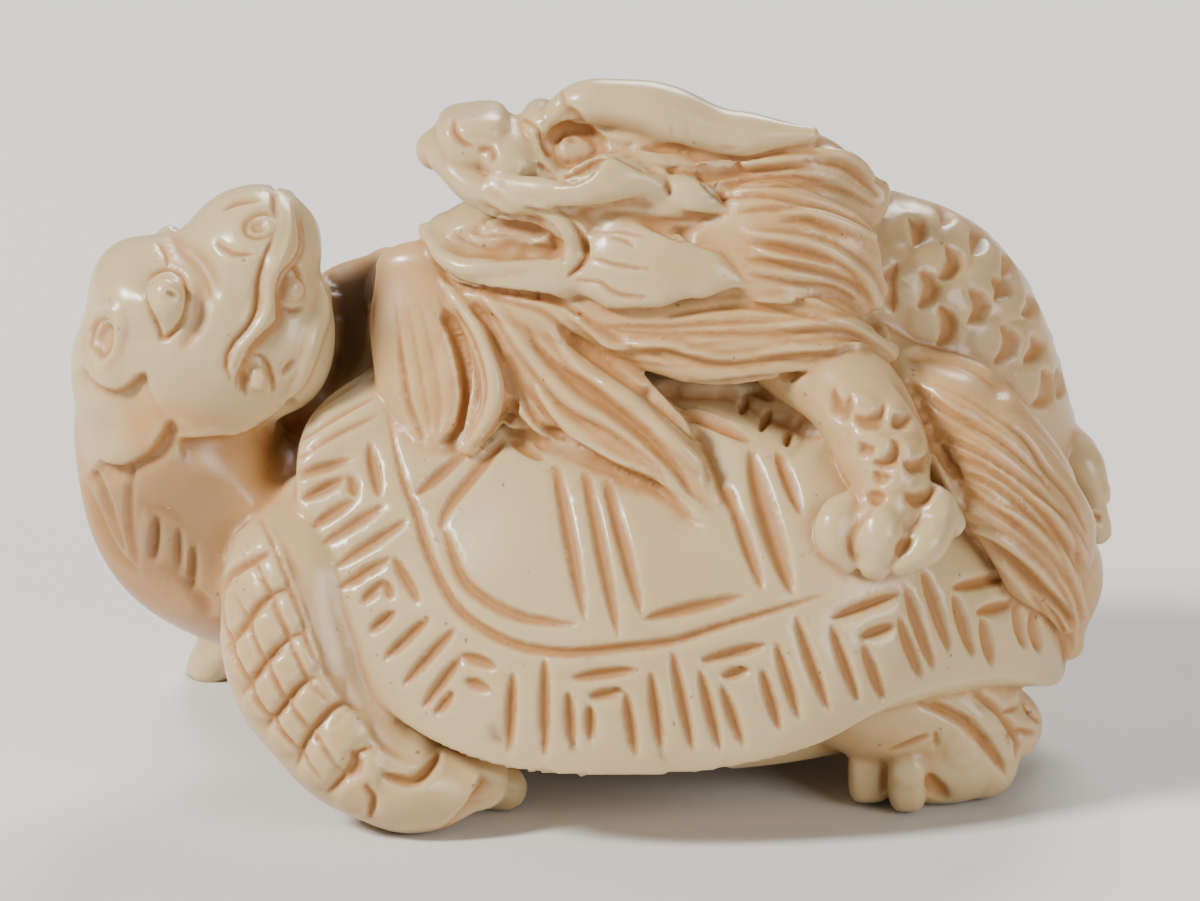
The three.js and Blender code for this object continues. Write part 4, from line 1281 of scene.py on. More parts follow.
def steps(depth: float, fade: float, lines: tuple, left: bool = False) -> list[Cut]:
    """Steps of one size along several lines.

    Args:
        depth: How deep they are.
        fade: The distance in which the lowered ground comes back up.
        lines: Their lines on the drawing.
        left: True if the ground on the left of the lines is lowered.

    Returns:
        The cuts, in the order of their lines.
    """
    return [Cut(Tool.STEP, line, fade, depth, left) for line in lines]


@dataclass
class Carver:
    """Cuts the surface, seen square on, with the strokes of the drawing. Sizes are millimetres.

    Attributes:
        surface: The surface that is cut.
        margin: What is added to a place on the drawing to bring all of them above zero.
        cell: The width of the squares in which the nearest form hides what is behind it.
        row: The number of squares in a row of them.
        slack: How far behind the nearest form a vertex still counts as seen.
        past: How far past a mirror's plane the far half begins.
        facing: How squarely a vertex has to face the eye to be seen.
        rim: The facing at which a tool stops biting.
        rim_fade: The facing beyond the rim at which it bites fully.
        blur: How many times the border of what is seen is softened.
        faint: The share of being seen below which a vertex is left alone.
        dot_gap: The distance between the points that a line is measured from.
        step_reach: How far a step reaches, in its own widths.
        wall: The width of a step's wall.
        lip: How much the edge above a step is raised, as a share of its depth.
        lip_width: How far the raised edge runs back.
        seam: How far the stain runs out from the foot of a step.
        step_dye: How much stain a step holds for its depth.
        full_dye: The depth at which any other cut holds all its stain.
        hollow_dye: The share of it that a wide hollow holds.
    """

    surface: "Surface"
    margin: float = 40.0
    cell: float = 0.25
    row: int = 1000
    slack: float = 0.8
    past: float = 0.2
    facing: float = 0.15
    rim: float = 0.12
    rim_fade: float = 0.3
    blur: int = 3
    faint: float = 0.05
    dot_gap: float = 0.3
    step_reach: float = 3.0
    wall: float = 0.26
    lip: float = 0.25
    lip_width: float = 0.5
    seam: float = 0.3
    step_dye: float = 2.0
    full_dye: float = 0.3
    hollow_dye: float = 0.4

    def __post_init__(self) -> None:
        """Starts with an uncut surface."""
        count = len(self.surface.places)
        self.sunk = np.zeros(count)
        self.raised = np.zeros(count)
        self.stain = np.zeros(count)
        # Dark brown painted into the skin: painted shade, and the shell's small dark spots.
        self.shade_and_dirt = np.zeros(count)

    def look(self, regions: set[Region], mirror: Mirror | None = None) -> None:
        """Finds what is seen from the front, or in a mirror.

        Args:
            regions: The regions that may be cut.
            mirror: The mirror that the far half is seen in.
        """
        places = self.surface.places
        outward = self.surface.outward()
        chosen = np.isin(self.surface.regions, [region.value for region in regions])
        hiding = np.ones(len(places), dtype=bool)
        if mirror:
            chosen &= places[:, 1] > mirror.plane + self.past
            hiding = chosen
            places = mirror.places(places)
            outward = mirror.outward(outward)
        spots = DRAWING.seen(places)
        near = places @ DRAWING.eye()
        facing = outward @ DRAWING.eye()
        square = np.floor((spots + self.margin) / self.cell).astype(int)
        key = square[:, 0] * self.row + square[:, 1]
        first = np.full(key.max() + 1, -np.inf)
        np.maximum.at(first, key[hiding], near[hiding])
        seen = (chosen & (near > first[key] - self.slack) & (facing > self.facing)).astype(float)
        for _ in range(self.blur):
            seen = self.surface.eased(seen)
        self.chosen = np.flatnonzero(seen > self.faint)
        self.spots = spots[self.chosen]
        bite = np.clip((facing[self.chosen] - self.rim) / self.rim_fade, 0, 1)
        self.strength = seen[self.chosen] * bite

    def within(self, low: np.ndarray, high: np.ndarray) -> np.ndarray:
        """Which of the seen vertices lie in a box of the drawing, by its corners."""
        spots = self.spots
        inside = (spots[:, 0] > low[0]) & (spots[:, 0] < high[0])
        return np.flatnonzero(inside & (spots[:, 1] > low[1]) & (spots[:, 1] < high[1]))

    @staticmethod
    def fill(layer: np.ndarray, ids: np.ndarray, amount: np.ndarray) -> None:
        """Brings some vertices of a layer up to an amount, and leaves those that are past it."""
        layer[ids] = np.maximum(layer[ids], amount)

    def strokes(self, cuts: list[Cut]) -> None:
        """Makes several cuts, one after the other."""
        for cut in cuts:
            self.stroke(cut)

    def stroke(self, cut: Cut) -> None:
        """Makes one cut."""
        line = Path([(u, v, 0.0) for u, v in cut.line], fine=60)
        dots = line.at(np.linspace(0, 1, max(6, int(line.length / self.dot_gap))))[:, :2]
        reach = cut.width * (self.step_reach if cut.tool is Tool.STEP else 1.0)
        found = self.within(dots.min(axis=0) - reach, dots.max(axis=0) + reach)
        if not len(found):
            return
        runs = np.diff(dots, axis=0)
        offset = self.spots[found][:, None, :] - dots[None, :-1]
        squares = np.maximum((runs**2).sum(axis=1), 1e-9)
        along = np.clip((offset * runs).sum(axis=2) / squares, 0, 1)
        gaps = offset - along[..., None] * runs
        far = (gaps**2).sum(axis=2)
        best = far.argmin(axis=1)
        rows = np.arange(len(found))
        away = np.sqrt(far[rows, best])
        share = (best + along[rows, best]) / len(runs)
        gap = gaps[rows, best]
        run = runs[best]
        leftward = run[:, 0] * gap[:, 1] - run[:, 1] * gap[:, 0] > 0
        taper = np.sin(np.clip(share, 0, 1) * math.pi)
        ids = self.chosen[found]
        depth = cut.depth * self.strength[found]
        if cut.tool is Tool.STEP:
            self.step(cut, ids, away, np.minimum(1.0, taper * 3.0), leftward == cut.left, depth)
        else:
            self.groove(cut, ids, away, taper, depth)

    def step(
        self,
        cut: Cut,
        ids: np.ndarray,
        away: np.ndarray,
        ends: np.ndarray,
        low: np.ndarray,
        depth: np.ndarray,
    ) -> None:
        """Lowers the ground on one side of a line and raises its edge on the other a little.

        Args:
            cut: The cut.
            ids: The vertices near it.
            away: Their distances from its line.
            ends: Nothing at the ends of the line and one a little way in.
            low: Whether they lie on the side that is lowered.
            depth: How deep the tool goes at each of them.
        """
        wall = smooth(np.clip(away / self.wall, 0, 1))
        fall = np.where(low, wall * np.exp(-((away / cut.width) ** 1.5)), 0) * ends
        lift = np.where(low, 0, np.exp(-away / self.lip_width)) * ends
        dye = np.where(low, np.exp(-away / self.seam), 0) * ends
        self.fill(self.sunk, ids, fall * depth)
        self.fill(self.raised, ids, lift * depth * self.lip)
        self.fill(self.stain, ids, dye * min(1.0, cut.depth * self.step_dye))

    def groove(
        self,
        cut: Cut,
        ids: np.ndarray,
        away: np.ndarray,
        taper: np.ndarray,
        depth: np.ndarray,
    ) -> None:
        """Cuts a groove along a line, or leaves a ridge standing there.

        Args:
            cut: The cut.
            ids: The vertices near it.
            away: Their distances from its line.
            taper: Nothing at the ends of the line and one in its middle.
            depth: How deep the tool goes at each of them.
        """
        width = cut.width * taper ** NARROWING[cut.tool]
        x = np.clip(1 - away / np.maximum(width / 2, 1e-3), 0, 1)
        if cut.tool is Tool.RIDGE:
            self.fill(self.raised, ids, (1 - (1 - x) ** 2) * depth * taper**0.5)
            return
        if cut.tool is Tool.GRAVER:
            shape = x
        elif cut.tool is Tool.HOLLOW:
            shape = smooth(x)
        else:
            shape = x * (2 - x)
        self.fill(self.sunk, ids, shape * depth * taper**0.4)
        dye = min(1.0, cut.depth / self.full_dye) * (self.hollow_dye if cut.tool is Tool.HOLLOW else 1.0)
        shape = np.minimum(1, shape * 1.5) * np.minimum(1, taper * 3)
        self.fill(self.stain, ids, shape * dye)

    def dish(self, dish: Dish) -> None:
        """Sinks one round hollow."""
        reach = max(dish.radii)
        centre = np.array(dish.spot)
        found = self.within(centre - reach, centre + reach)
        turn = math.radians(dish.lean)
        offset = self.spots[found] - centre
        a = (offset[:, 0] * math.cos(turn) - offset[:, 1] * math.sin(turn)) / dish.radii[0]
        b = (offset[:, 0] * math.sin(turn) + offset[:, 1] * math.cos(turn)) / dish.radii[1]
        inside = np.clip(1 - a * a - b * b, 0, 1)
        amount = smooth(np.clip(inside * 1.5, 0, 1)) * abs(dish.depth) * self.strength[found]
        ids = self.chosen[found]
        # Paints the dish's dark brown, darkest in its middle; for the smears this is painted shade.
        self.fill(self.shade_and_dirt, ids, inside * dish.shade_and_dirt)
        self.fill(self.stain, ids, np.sqrt(inside) * dish.dye)
        self.fill(self.sunk if dish.depth > 0 else self.raised, ids, amount)

    def scales(self, region: Region, limb: Limb, size: float, depth: float) -> None:
        """Cuts rows of overlapping scales round a limb, on the side that the drawing doesn't show.

        Args:
            region: The region that may be cut.
            limb: The limb they lie on.
            size: The distance from one row to the next.
            depth: How deep their edges are.
        """
        surface = self.surface
        away = surface.outward() @ DRAWING.eye() < 0.0
        ids = np.flatnonzero(away & (surface.regions == region.value))
        shares = np.linspace(0, 1, 100)
        spine = limb.path.at(shares)
        places = surface.places[ids]
        best = ((spine**2).sum(axis=1) - 2 * places @ spine.T).argmin(axis=1)
        side, out = limb.axes(shares)
        offset = places - spine[best]
        turn = np.arctan2((offset * out[best]).sum(axis=1), (offset * side[best]).sum(axis=1))
        run = (offset * limb.path.heading(shares)[best]).sum(axis=1)
        row = (shares[best] * limb.path.length + run) / size
        count = round(2 * math.pi * max(limb.radii) / size)
        column = turn / (2 * math.pi) * count
        number = np.floor(row)
        shift = 0.5 * (number % 2)
        beside = column - shift - np.round(column - shift)
        gap = np.hypot(row - number, beside)
        edge = np.exp(-(((gap - 0.66) / 0.1) ** 2))
        self.fill(self.sunk, ids, edge * depth)
        self.fill(self.raised, ids, np.where(gap < 0.6, gap**2, 0) * depth)
        self.fill(self.stain, ids, edge * 0.7)

    def smear(self, dish: Dish, rounds: int) -> None:
        """Sinks one round hollow, with painted shade that is spread past its edges in some rounds."""
        before = self.shade_and_dirt
        self.shade_and_dirt = np.zeros_like(before)
        self.dish(dish)
        self.shade_and_dirt = np.maximum(before, self.surface.spread(self.shade_and_dirt, rounds))

    def press(self) -> None:
        """Moves the surface by what has been cut so far."""
        move = self.surface.eased(self.raised - self.sunk)
        self.surface.places += self.surface.outward() * move[:, None]
        self.sunk[:] = 0
        self.raised[:] = 0


class Surface:
    """The work's skin as arrays: the vertices' places and regions, and the edges between them."""

    PULL = 0.6
    RUBS = (0.5, -0.52)
    LABEL_ROUNDS = 8
    TINT_ROUNDS = 30
    BLEND_ROUNDS = 6

    def __init__(self, mesh: bpy.types.Mesh) -> None:
        """Reads a mesh."""
        self.mesh = mesh
        count = len(mesh.vertices)
        self.places = np.empty(count * 3)
        mesh.vertices.foreach_get("co", self.places)
        self.places = self.places.reshape(-1, 3)
        edges = np.empty(len(mesh.edges) * 2, dtype=np.int64)
        mesh.edges.foreach_get("vertices", edges)
        self.regions = np.zeros(count, dtype=int)
        self._ends = edges
        self._others = edges.reshape(-1, 2)[:, ::-1].ravel()
        self._ties = np.maximum(np.bincount(edges, minlength=count), 1)

    def label(self, block: Block) -> None:
        """Notes which region each vertex came from: that of the block's nearest vertices."""
        places = np.concatenate(block.places)
        regions = np.concatenate(block.regions)
        tree = kdtree.KDTree(len(places))
        for index, place in enumerate(places.tolist()):
            tree.insert(place, index)
        tree.balance()
        nearest = [tree.find(place)[1] for place in self.places.tolist()]
        regions = regions[nearest]
        best = np.zeros(len(regions))
        for region in Region:
            share = self.spread((regions == region.value).astype(float), self.LABEL_ROUNDS)
            self.regions[share > best] = region.value
            best = np.maximum(best, share)

    def around(self, values: np.ndarray) -> np.ndarray:
        """The mean of each vertex's neighbours."""
        count = len(self._ties)
        if values.ndim == 1:
            return np.bincount(self._ends, values[self._others], count) / self._ties
        columns = [self.around(values[:, k]) for k in range(values.shape[1])]
        return np.stack(columns, axis=1)

    def spread(self, values: np.ndarray, rounds: int) -> np.ndarray:
        """Each vertex's value run together with its neighbours', several times over."""
        for _ in range(rounds):
            values = self.around(values)
        return values

    def eased(self, values: np.ndarray) -> np.ndarray:
        """Each vertex's value, drawn some way to the mean of its neighbours'."""
        return (1 - self.PULL) * values + self.PULL * self.around(values)

    def by_region(self, values: dict[Region, float]) -> np.ndarray:
        """The value of each vertex's region, and nothing in the regions that have none."""
        made = np.zeros(len(self.places))
        for region, value in values.items():
            made[self.regions == region.value] = value
        return made

    def tint(self, values: dict[Region, float]) -> np.ndarray:
        """A value for each region, run together where regions meet."""
        return self.spread(self.by_region(values), self.TINT_ROUNDS)

    def soften(self, rounds: int) -> None:
        """Rubs the whole surface down a little without shrinking it."""
        for _ in range(rounds):
            for push in self.RUBS:
                self.places += (self.around(self.places) - self.places) * push

    def blend(self, weights: dict[Region, float], rounds: int) -> None:
        """Runs the masses of some regions together, as a file does.

        Args:
            weights: How strongly each region is filed.
            rounds: How many times.
        """
        weight = self.spread(self.by_region(weights), self.BLEND_ROUNDS)
        for _ in range(rounds):
            self.places += (self.around(self.places) - self.places) * weight[:, None]

    def outward(self) -> np.ndarray:
        """The direction out of the surface at each vertex, once its places are in the mesh."""
        self.mesh.vertices.foreach_set("co", self.places.ravel())
        self.mesh.update()
        normals = np.empty(len(self.places) * 3)
        self.mesh.vertices.foreach_get("normal", normals)
        return normals.reshape(-1, 3)

    def hollow(self, rounds: int) -> np.ndarray:
        """How many millimetres each vertex lies below its surroundings, smoothed in some rounds."""
        smoothed = self.places
        for _ in range(rounds):
            smoothed = smoothed + (self.around(smoothed) - smoothed) * self.PULL
        return np.einsum("ij,ij->i", smoothed - self.places, self.outward())


def placed(name: str, data: bpy.types.ID) -> bpy.types.Object:
    """A new object in the scene that shows a mesh, a lamp or a camera."""
    made = bpy.data.objects.new(name, data)
    bpy.context.collection.objects.link(made)
    return made


def evaluated(thing: bpy.types.Object) -> bpy.types.Mesh:
    """The mesh that an object's modifiers give, as a new mesh."""
    graph = bpy.context.evaluated_depsgraph_get()
    return bpy.data.meshes.new_from_object(thing.evaluated_get(graph))


def islands(bm: bmesh.types.BMesh) -> list[list[bmesh.types.BMVert]]:
    """The vertices of each separate piece of a mesh, the largest piece last."""
    rest = set(bm.verts)
    pieces = []
    while rest:
        found = [rest.pop()]
        for corner in found:
            around = {edge.other_vert(corner) for edge in corner.link_edges} & rest
            rest -= around
            found.extend(around)
        pieces.append(found)
    return sorted(pieces, key=len)


def mend(mesh: bpy.types.Mesh, sliver: float = 0.002, rounds: int = 6) -> None:
    """Closes the pinholes that thinning leaves, and drops any crumb that has come loose.

    Args:
        mesh: The carving's mesh, in millimetres.
        sliver: The length below which an edge is taken out.
        rounds: How often it is mended at the most.
    """
    bm = bmesh.new()
    bm.from_mesh(mesh)
    bmesh.ops.dissolve_degenerate(bm, dist=sliver, edges=bm.edges[:])
    for _ in range(rounds):
        torn = {corner for edge in bm.edges if len(edge.link_faces) != 2 for corner in edge.verts}
        if not torn:
            break
        patch = {face for corner in torn for face in corner.link_faces}
        bmesh.ops.delete(bm, geom=list(patch), context="FACES")
        for crumb in islands(bm)[:-1]:
            bmesh.ops.delete(bm, geom=crumb, context="VERTS")
        rim = [edge for edge in bm.edges if len(edge.link_faces) == 1]
        filled = bmesh.ops.holes_fill(bm, edges=rim, sides=0)["faces"]
        bmesh.ops.triangulate(bm, faces=filled)
    log.info("mended: %d faces", len(bm.faces))
    bm.to_mesh(mesh)
    bm.free()


def linear(colour: str, alpha: float = 1.0) -> tuple[float, float, float, float]:
    """An sRGB hex colour as the linear values that a shader takes."""
    channels = [int(colour[i : i + 2], 16) / 255 for i in (1, 3, 5)]
    return (*(c / 12.92 if c <= 0.04045 else ((c + 0.055) / 1.055) ** 2.4 for c in channels), alpha)


def node(
    tree: Tree,
    kind: str,
    settings: dict | None = None,
    values: dict | None = None,
    links: dict | None = None,
) -> bpy.types.Node:
    """Adds a shader node.

    Args:
        tree: The node tree.
        kind: The node's type.
        settings: Its properties by name.
        values: Its input values by socket.
        links: The output sockets that feed its inputs, by socket.

    Returns:
        The node.
    """
    made = tree.nodes.new(kind)
    for name, value in (settings or {}).items():
        setattr(made, name, value)
    for name, value in (values or {}).items():
        made.inputs[name].default_value = value
    for name, source in (links or {}).items():
        tree.links.new(source, made.inputs[name])
    return made


@dataclass(frozen=True)
class Ivory:
    """Polished elephant ivory: dense and waxy, so light sinks in a little below a soft gloss.

    The polish is brightest on the high places. The cuts hold an orange-brown stain, and the deep places are
    painted dark brown as shade.

    Attributes:
        polished: The colour of the high places.
        worn_cream: The warmer colour of the skin round them.
        stained: The colour of the cuts.
        deep: The dark brown painted as shade in the deepest places, which the dark pores take too.
        roughness: How rough the polish is.
        dull: How rough the stain and the painted shade are.
        ior: The index of refraction.
        glow: How much of the light sinks in.
        glow_tint: How far each of red, green and blue travels, as shares of the depth.
        depth_mm: How deep it sinks.
        grain_mm: The size of the scratches that polishing leaves.
        marks_mm: How deep they are.
        marks: How strongly they show.
        cloud_mm: The size of the clouds in the colour.
        cloud: How far they shift it.
        speck_mm: The size of the dark pores.
        speck: How dark they are.
    """

    polished: str = "#C6AE82"
    worn_cream: str = "#BC8D58"
    stained: str = "#A8743C"
    deep: str = "#40220F"
    roughness: float = 0.28
    dull: float = 0.65
    ior: float = 1.54
    glow: float = 0.35
    glow_tint: Point = (1.0, 0.6, 0.35)
    depth_mm: float = 0.8
    grain_mm: float = 0.5
    marks_mm: float = 0.03
    marks: float = 0.35
    cloud_mm: float = 5.0
    cloud: float = 0.15
    speck_mm: float = 0.45
    speck: float = 0.55

    @staticmethod
    def noise(tree: Tree, size_mm: float, values: dict) -> Socket:
        """A noise that is fixed to the work, with patches of some size."""
        place = node(tree, "ShaderNodeTexCoord").outputs["Object"]
        values = {"Scale": 1 / (size_mm * MM), **values}
        return node(tree, "ShaderNodeTexNoise", None, values, {"Vector": place}).outputs["Fac"]

    @staticmethod
    def ranged(tree: Tree, source: Socket, values: dict) -> Socket:
        """A value brought from one range to another, each from nothing to one where not said."""
        return node(tree, "ShaderNodeMapRange", None, values, {"Value": source}).outputs["Result"]

    @staticmethod
    def joined(tree: Tree, operation: str, *sources: Socket) -> Socket:
        """Two values added up or compared, and kept between nothing and one."""
        settings = {"operation": operation, "use_clamp": True}
        return node(tree, "ShaderNodeMath", settings, None, dict(enumerate(sources))).outputs["Value"]

    @staticmethod
    def over(tree: Tree, share: Socket, colour: str) -> bpy.types.Node:
        """A node that lays a share of a colour over another, which still has to be put in."""
        return node(tree, "ShaderNodeMix", {"data_type": "RGBA"}, {UPPER: linear(colour)}, {SHARE: share})

    def material(self) -> bpy.types.Material:
        """The finish as a material."""
        made = bpy.data.materials.new("polished_ivory")
        made.use_nodes = True
        tree = made.node_tree
        tree.nodes.clear()
        stain, dark, warm = (
            node(tree, "ShaderNodeAttribute", {"attribute_name": name}).outputs["Fac"] for name in LAYERS
        )
        clouds = self.noise(tree, self.cloud_mm, {"Detail": 3.0})
        spread = {"From Min": 0.3, "From Max": 0.7, "To Min": -self.cloud, "To Max": self.cloud}
        tone = self.joined(tree, "ADD", warm, self.ranged(tree, clouds, spread))
        pores = self.noise(tree, self.speck_mm, {"Detail": 1.0})
        few = {"From Min": 0.75, "From Max": 0.8, "To Max": self.speck}
        # Painted shade from the dark layer, together with the ivory's own dark pores.
        shade_and_dirt = self.joined(tree, "MAXIMUM", dark, self.ranged(tree, pores, few))
        ground = self.over(tree, tone, self.worn_cream)
        ground.inputs[LOWER].default_value = linear(self.polished)
        rubbed = self.over(tree, stain, self.stained)
        tree.links.new(ground.outputs[MIXED], rubbed.inputs[LOWER])
        # Lays the dark brown over the stained ground: painted shade and pores.
        darkened = self.over(tree, shade_and_dirt, self.deep)
        tree.links.new(rubbed.outputs[MIXED], darkened.inputs[LOWER])
        grain = self.noise(tree, self.grain_mm, {"Detail": 4.0, "Roughness": 0.6})
        height = {"Strength": self.marks, "Distance": self.marks_mm * MM}
        bump = node(tree, "ShaderNodeBump", None, height, {"Height": grain})
        ends = {"To Min": self.roughness, "To Max": self.dull}
        gloss = self.ranged(tree, self.joined(tree, "MAXIMUM", stain, dark), ends)
        shader = node(
            tree,
            "ShaderNodeBsdfPrincipled",
            values={
                "IOR": self.ior,
                "Subsurface Weight": self.glow,
                "Subsurface Radius": self.glow_tint,
                "Subsurface Scale": self.depth_mm * MM,
            },
            links={
                "Base Color": darkened.outputs[MIXED],
                "Roughness": gloss,
                "Normal": bump.outputs["Normal"],
            },
        )
        node(tree, "ShaderNodeOutputMaterial", links={"Surface": shader.outputs[0]})
        return made


@dataclass(frozen=True)
class Patina:
    """What rubbing in and handling leave, stain in the cuts and warm hollows, and painted shade in the deep
    places.

    A fine hollow is a cut, and a broad one a valley between two masses.

    Attributes:
        fine: How far round a vertex a fine hollow is measured, in rounds of smoothing.
        broad: The same for a broad hollow.
        cut_stain: The share of a tool's own stain.
        fine_stain: The stain of a fine hollow, and the depth in millimetres at which it is full.
        broad_stain: The same for a broad hollow.
        shade_and_dirt: The painted shade of a broad hollow, the depth at which it starts and the depth it
            takes to fill.
        fine_warmth: The warmth of a fine hollow, and the depth at which it is full.
        broad_warmth: The same for a broad hollow.
        coldest: The least that a high place counts for in the broad warmth.
    """

    fine: int = 8
    broad: int = 50
    cut_stain: float = 0.6
    fine_stain: Spot = (0.5, 0.06)
    broad_stain: Spot = (0.4, 0.4)
    shade_and_dirt: Point = (0.6, 0.55, 0.9)
    fine_warmth: Spot = (0.35, 0.05)
    broad_warmth: Spot = (0.3, 0.5)
    coldest: float = -0.6

    @staticmethod
    def filled(depths: np.ndarray, strength: Spot, least: float = 0.0) -> np.ndarray:
        """How strongly hollows are marked, by the full mark and the depth at which it is reached."""
        full, depth = strength
        return np.clip(depths / depth, least, 1) * full

    def lay(self, surface: Surface, carver: Carver) -> None:
        """Writes the stain, the dark and the warmth to the skin, where the finish reads them.

        Args:
            surface: The skin.
            carver: The carver, who knows what the tools have left in it.
        """
        fine = surface.hollow(self.fine)
        broad = surface.hollow(self.broad)
        stain = carver.stain * self.cut_stain + self.filled(fine, self.fine_stain)
        stain += self.filled(broad, self.broad_stain)
        # Painted shade: broad hollows are painted darker, on top of the shade and spots that the carver
        # painted.
        amount, start, depth = self.shade_and_dirt
        dark = self.filled(broad - start, (amount, depth)) + carver.shade_and_dirt
        warm = surface.tint(TINT_AND_NECK_SHADE) + self.filled(fine, self.fine_warmth, -1)
        warm += self.filled(broad, self.broad_warmth, self.coldest)
        for name, values in zip(LAYERS, (stain, dark, warm)):
            layer = surface.mesh.attributes.new(name, "FLOAT", "POINT")
            layer.data.foreach_set("value", np.clip(values, 0, 1).astype(np.float32))


@dataclass
class Netsuke:
    """The whole work, cut from one block.

    Attributes:
        voxel: The grain of the skin that joins the masses, in millimetres.
        triangles: How many triangles the finished work has.
        spare: How much of the thinning is steered to the side that isn't drawn.
        turned: The facing below which a vertex lies on that side.
        drawn_share: How readily the drawn side is thinned beside it.
        rubs: How many times the skin is rubbed down before and after it is cut.
    """

    voxel: float = 0.12
    triangles: int = 194_000
    spare: float = 0.06
    turned: float = -0.5
    drawn_share: float = 0.5
    rubs: tuple[int, int] = (4, 1)
    carapace: Carapace = field(default_factory=Carapace)
    plastron: Plastron = field(default_factory=Plastron)
    legs: TurtleLegs = field(default_factory=TurtleLegs)
    head: TurtleHead = field(default_factory=TurtleHead)
    trunk: DragonBody = field(default_factory=DragonBody)
    dragon: DragonHead = field(default_factory=DragonHead)
    hair: Hair = field(default_factory=Hair)
    paws: DragonPaws = field(default_factory=DragonPaws)
    patina: Patina = field(default_factory=Patina)
    finish: Ivory = field(default_factory=Ivory)

    FILED = (
        ({Region.TURTLE_FACE: 1.0, Region.NECK: 0.8, Region.DRAGON_BODY: 0.6}, 50),
        ({Region.TURTLE_LEG: 0.8, Region.DRAGON_LEG: 0.5, Region.DRAGON_FACE: 0.2}, 12),
    )

    def skin(self, block: Block) -> bpy.types.Mesh:
        """Sets out the masses, runs them together and cuts the cord's passage.

        Args:
            block: The empty block that the masses are put in.

        Returns:
            One closed skin, in millimetres.
        """
        turtle = (self.carapace, self.plastron, self.legs, self.head)
        for part in (*turtle, self.trunk, self.dragon, self.hair, self.paws):
            part.shape(block)
        log.info("shaped: %d vertices", sum(len(places) for places in block.places))
        rough = placed("rough", block.mesh("rough"))
        join = rough.modifiers.new("join", "REMESH")
        join.mode = "VOXEL"
        join.voxel_size = self.voxel
        tunnel = self.plastron.tunnel()
        cut = rough.modifiers.new("cord holes", "BOOLEAN")
        cut.operation = "DIFFERENCE"
        cut.solver = "MANIFOLD"
        cut.object = tunnel
        skin = evaluated(rough)
        bpy.data.objects.remove(rough)
        bpy.data.objects.remove(tunnel)
        log.info("joined: %d vertices", len(skin.vertices))
        return skin

    def cut(self, surface: Surface) -> Carver:
        """Files the masses into each other, cuts the relief and rubs it down.

        Args:
            surface: The skin, with its regions labelled.

        Returns:
            The carver, who knows where stain and painted shade lie.
        """
        before, after = self.rubs
        for weights, rounds in self.FILED:
            surface.blend(weights, rounds)
        surface.soften(before)
        carver = Carver(surface)
        dragon = (self.trunk, self.hair, self.dragon, self.paws)
        for part in (self.carapace, *dragon, self.legs, self.head, self.plastron):
            part.carve(carver)
            carver.press()
            log.info("cut: %s", type(part).__name__)
        surface.soften(after)
        surface.places[:, 2] = np.maximum(surface.places[:, 2], 0.0)
        return carver

    def thinned(self, surface: Surface) -> bpy.types.Object:
        """Thins the skin, a little more on the side that isn't drawn.

        Args:
            surface: The cut skin.

        Returns:
            The carving, in millimetres.
        """
        hidden = surface.outward() @ DRAWING.eye() < self.turned
        skin = surface.mesh
        carved = placed("netsuke_carving", skin)
        away = carved.vertex_groups.new(name="away")
        away.add(np.flatnonzero(hidden).tolist(), 1.0, "REPLACE")
        away.add(np.flatnonzero(~hidden).tolist(), self.drawn_share, "REPLACE")
        thin = carved.modifiers.new("thin", "DECIMATE")
        thin.ratio = min(1.0, self.triangles / (len(skin.loops) - 2 * len(skin.polygons)))
        thin.vertex_group = away.name
        thin.vertex_group_factor = self.spare
        carved.data = evaluated(carved)
        carved.modifiers.clear()
        carved.vertex_groups.clear()
        mend(carved.data)
        return carved

    def build(self) -> bpy.types.Object:
        """Makes the finished piece.

        Returns:
            The piece, in metres, dressed.
        """
        block = Block()
        surface = Surface(self.skin(block))
        surface.label(block)
        log.info("labelled")
        carver = self.cut(surface)
        self.patina.lay(surface, carver)
        carved = self.thinned(surface)
        carved.data.transform(Matrix.Scale(MM, 4))
        carved.data.shade_smooth()
        carved.data.materials.clear()
        carved.data.materials.append(self.finish.material())
        log.info("carved: %d faces", len(carved.data.polygons))
        return carved


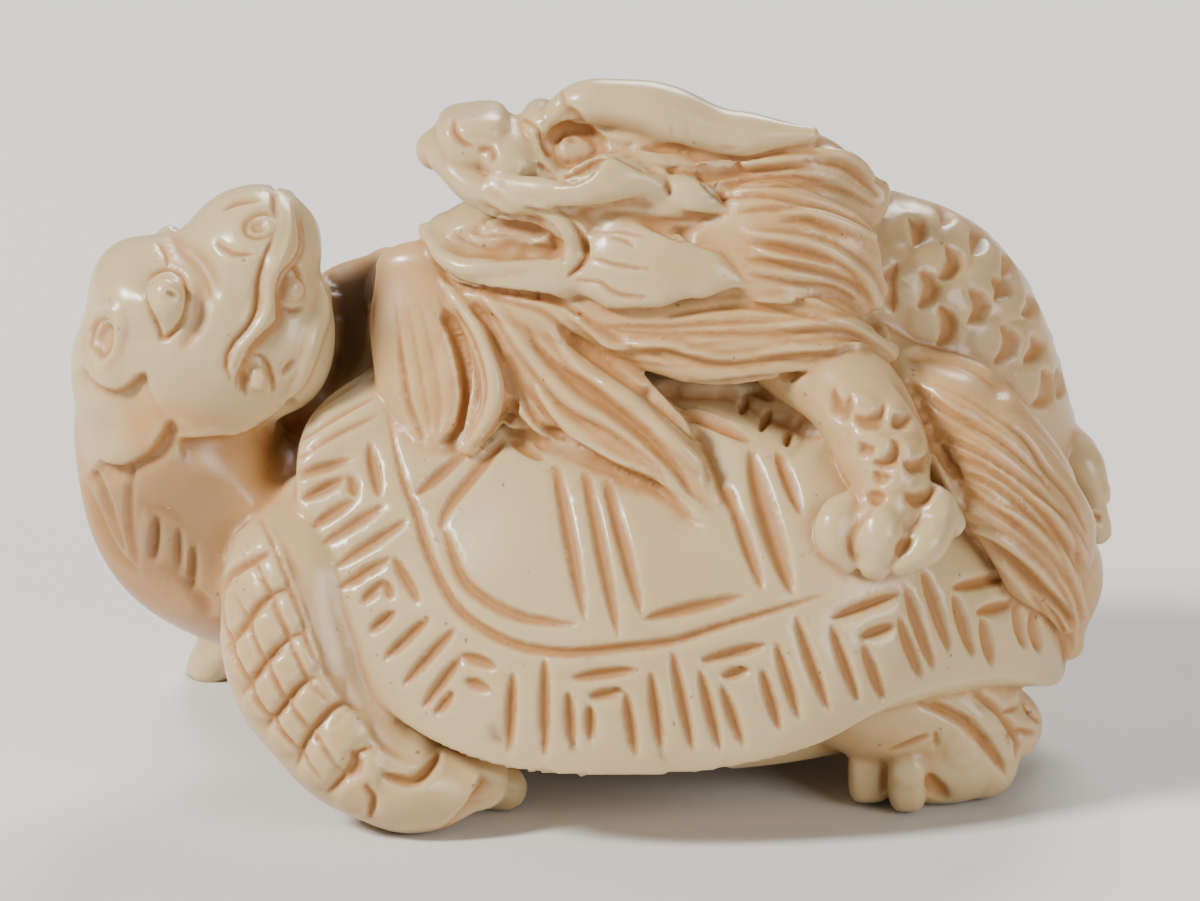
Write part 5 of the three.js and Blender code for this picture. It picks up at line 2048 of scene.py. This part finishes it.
@dataclass
class Studio:
    """A pale floor, soft lamps and a long lens at the photograph's angle.

    Its sizes are metres where their names don't say millimetres. The centre is on the drawing.
    """

    frame_width_mm: float = 57.14
    centre: Spot = (0.33, 18.2)
    distance: float = 0.9
    sensor_mm: float = 36.0
    floor_half: float = 1.5
    paper: str = "#D9D6D0"
    sky: str = "#E6E8EC"
    sky_strength: float = 0.21
    aim_height: float = 0.016

    # Each lamp's name, place, width and power in watts.
    LAMPS = (
        ("key", (-0.4, -0.2, 0.37), 0.11, 5.6),
        ("fill", (0.4, -0.4, 0.2), 0.3, 2.1),
        ("rim", (0.1, 0.4, 0.4), 0.25, 3.0),
    )

    def floor(self) -> bpy.types.Object:
        """The pale floor."""
        bm = bmesh.new()
        bmesh.ops.create_grid(bm, x_segments=1, y_segments=1, size=self.floor_half)
        mesh = bpy.data.meshes.new("floor")
        bm.to_mesh(mesh)
        bm.free()
        material = bpy.data.materials.new("pale_paper")
        material.use_nodes = True
        shader = material.node_tree.nodes["Principled BSDF"]
        shader.inputs["Base Color"].default_value = linear(self.paper)
        shader.inputs["Roughness"].default_value = 0.9
        mesh.materials.append(material)
        return placed("floor", mesh)

    def lamp(self, name: str, place: Point, size: float, watts: float) -> None:
        """Adds a soft square lamp that looks at the work."""
        light = bpy.data.lights.new(name, "AREA")
        light.size = size
        light.energy = watts
        made = placed(name, light)
        made.location = place
        aim = Vector((0, 0, self.aim_height)) - Vector(place)
        made.rotation_euler = aim.to_track_quat("-Z", "Y").to_euler()

    def camera(self) -> None:
        """Adds the camera, square on to the drawing."""
        lens = bpy.data.cameras.new("camera")
        lens.sensor_width = self.sensor_mm
        lens.sensor_fit = "HORIZONTAL"
        lens.lens = lens.sensor_width * self.distance / (self.frame_width_mm * MM)
        lens.clip_start = 0.01
        lens.clip_end = 10.0
        made = placed("camera", lens)
        aim = Vector(DRAWING.at(self.centre[0], self.centre[1], 0.0)) * MM
        made.location = aim + Vector(DRAWING.eye()) * self.distance
        made.rotation_euler = (math.pi / 2 - DRAWING.tilt, 0.0, 0.0)
        bpy.context.scene.camera = made

    def build(self) -> bpy.types.Object:
        """Sets up the studio and gives back its floor."""
        world = bpy.data.worlds.new("studio")
        world.use_nodes = True
        background = world.node_tree.nodes["Background"]
        background.inputs["Color"].default_value = linear(self.sky)
        background.inputs["Strength"].default_value = self.sky_strength
        bpy.context.scene.world = world
        for lamp in self.LAMPS:
            self.lamp(*lamp)
        self.camera()
        return self.floor()


def main() -> None:
    """Builds the work and the studio and hands them to the frame."""
    logging.basicConfig(level=logging.INFO, format="%(name)s: %(message)s")
    floor = Studio().build()
    carving = Netsuke().build()
    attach(carving, "root")
    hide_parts("netsuke")
    log.info("piece %s", carving.name)


if __name__ == "__main__":
    main()
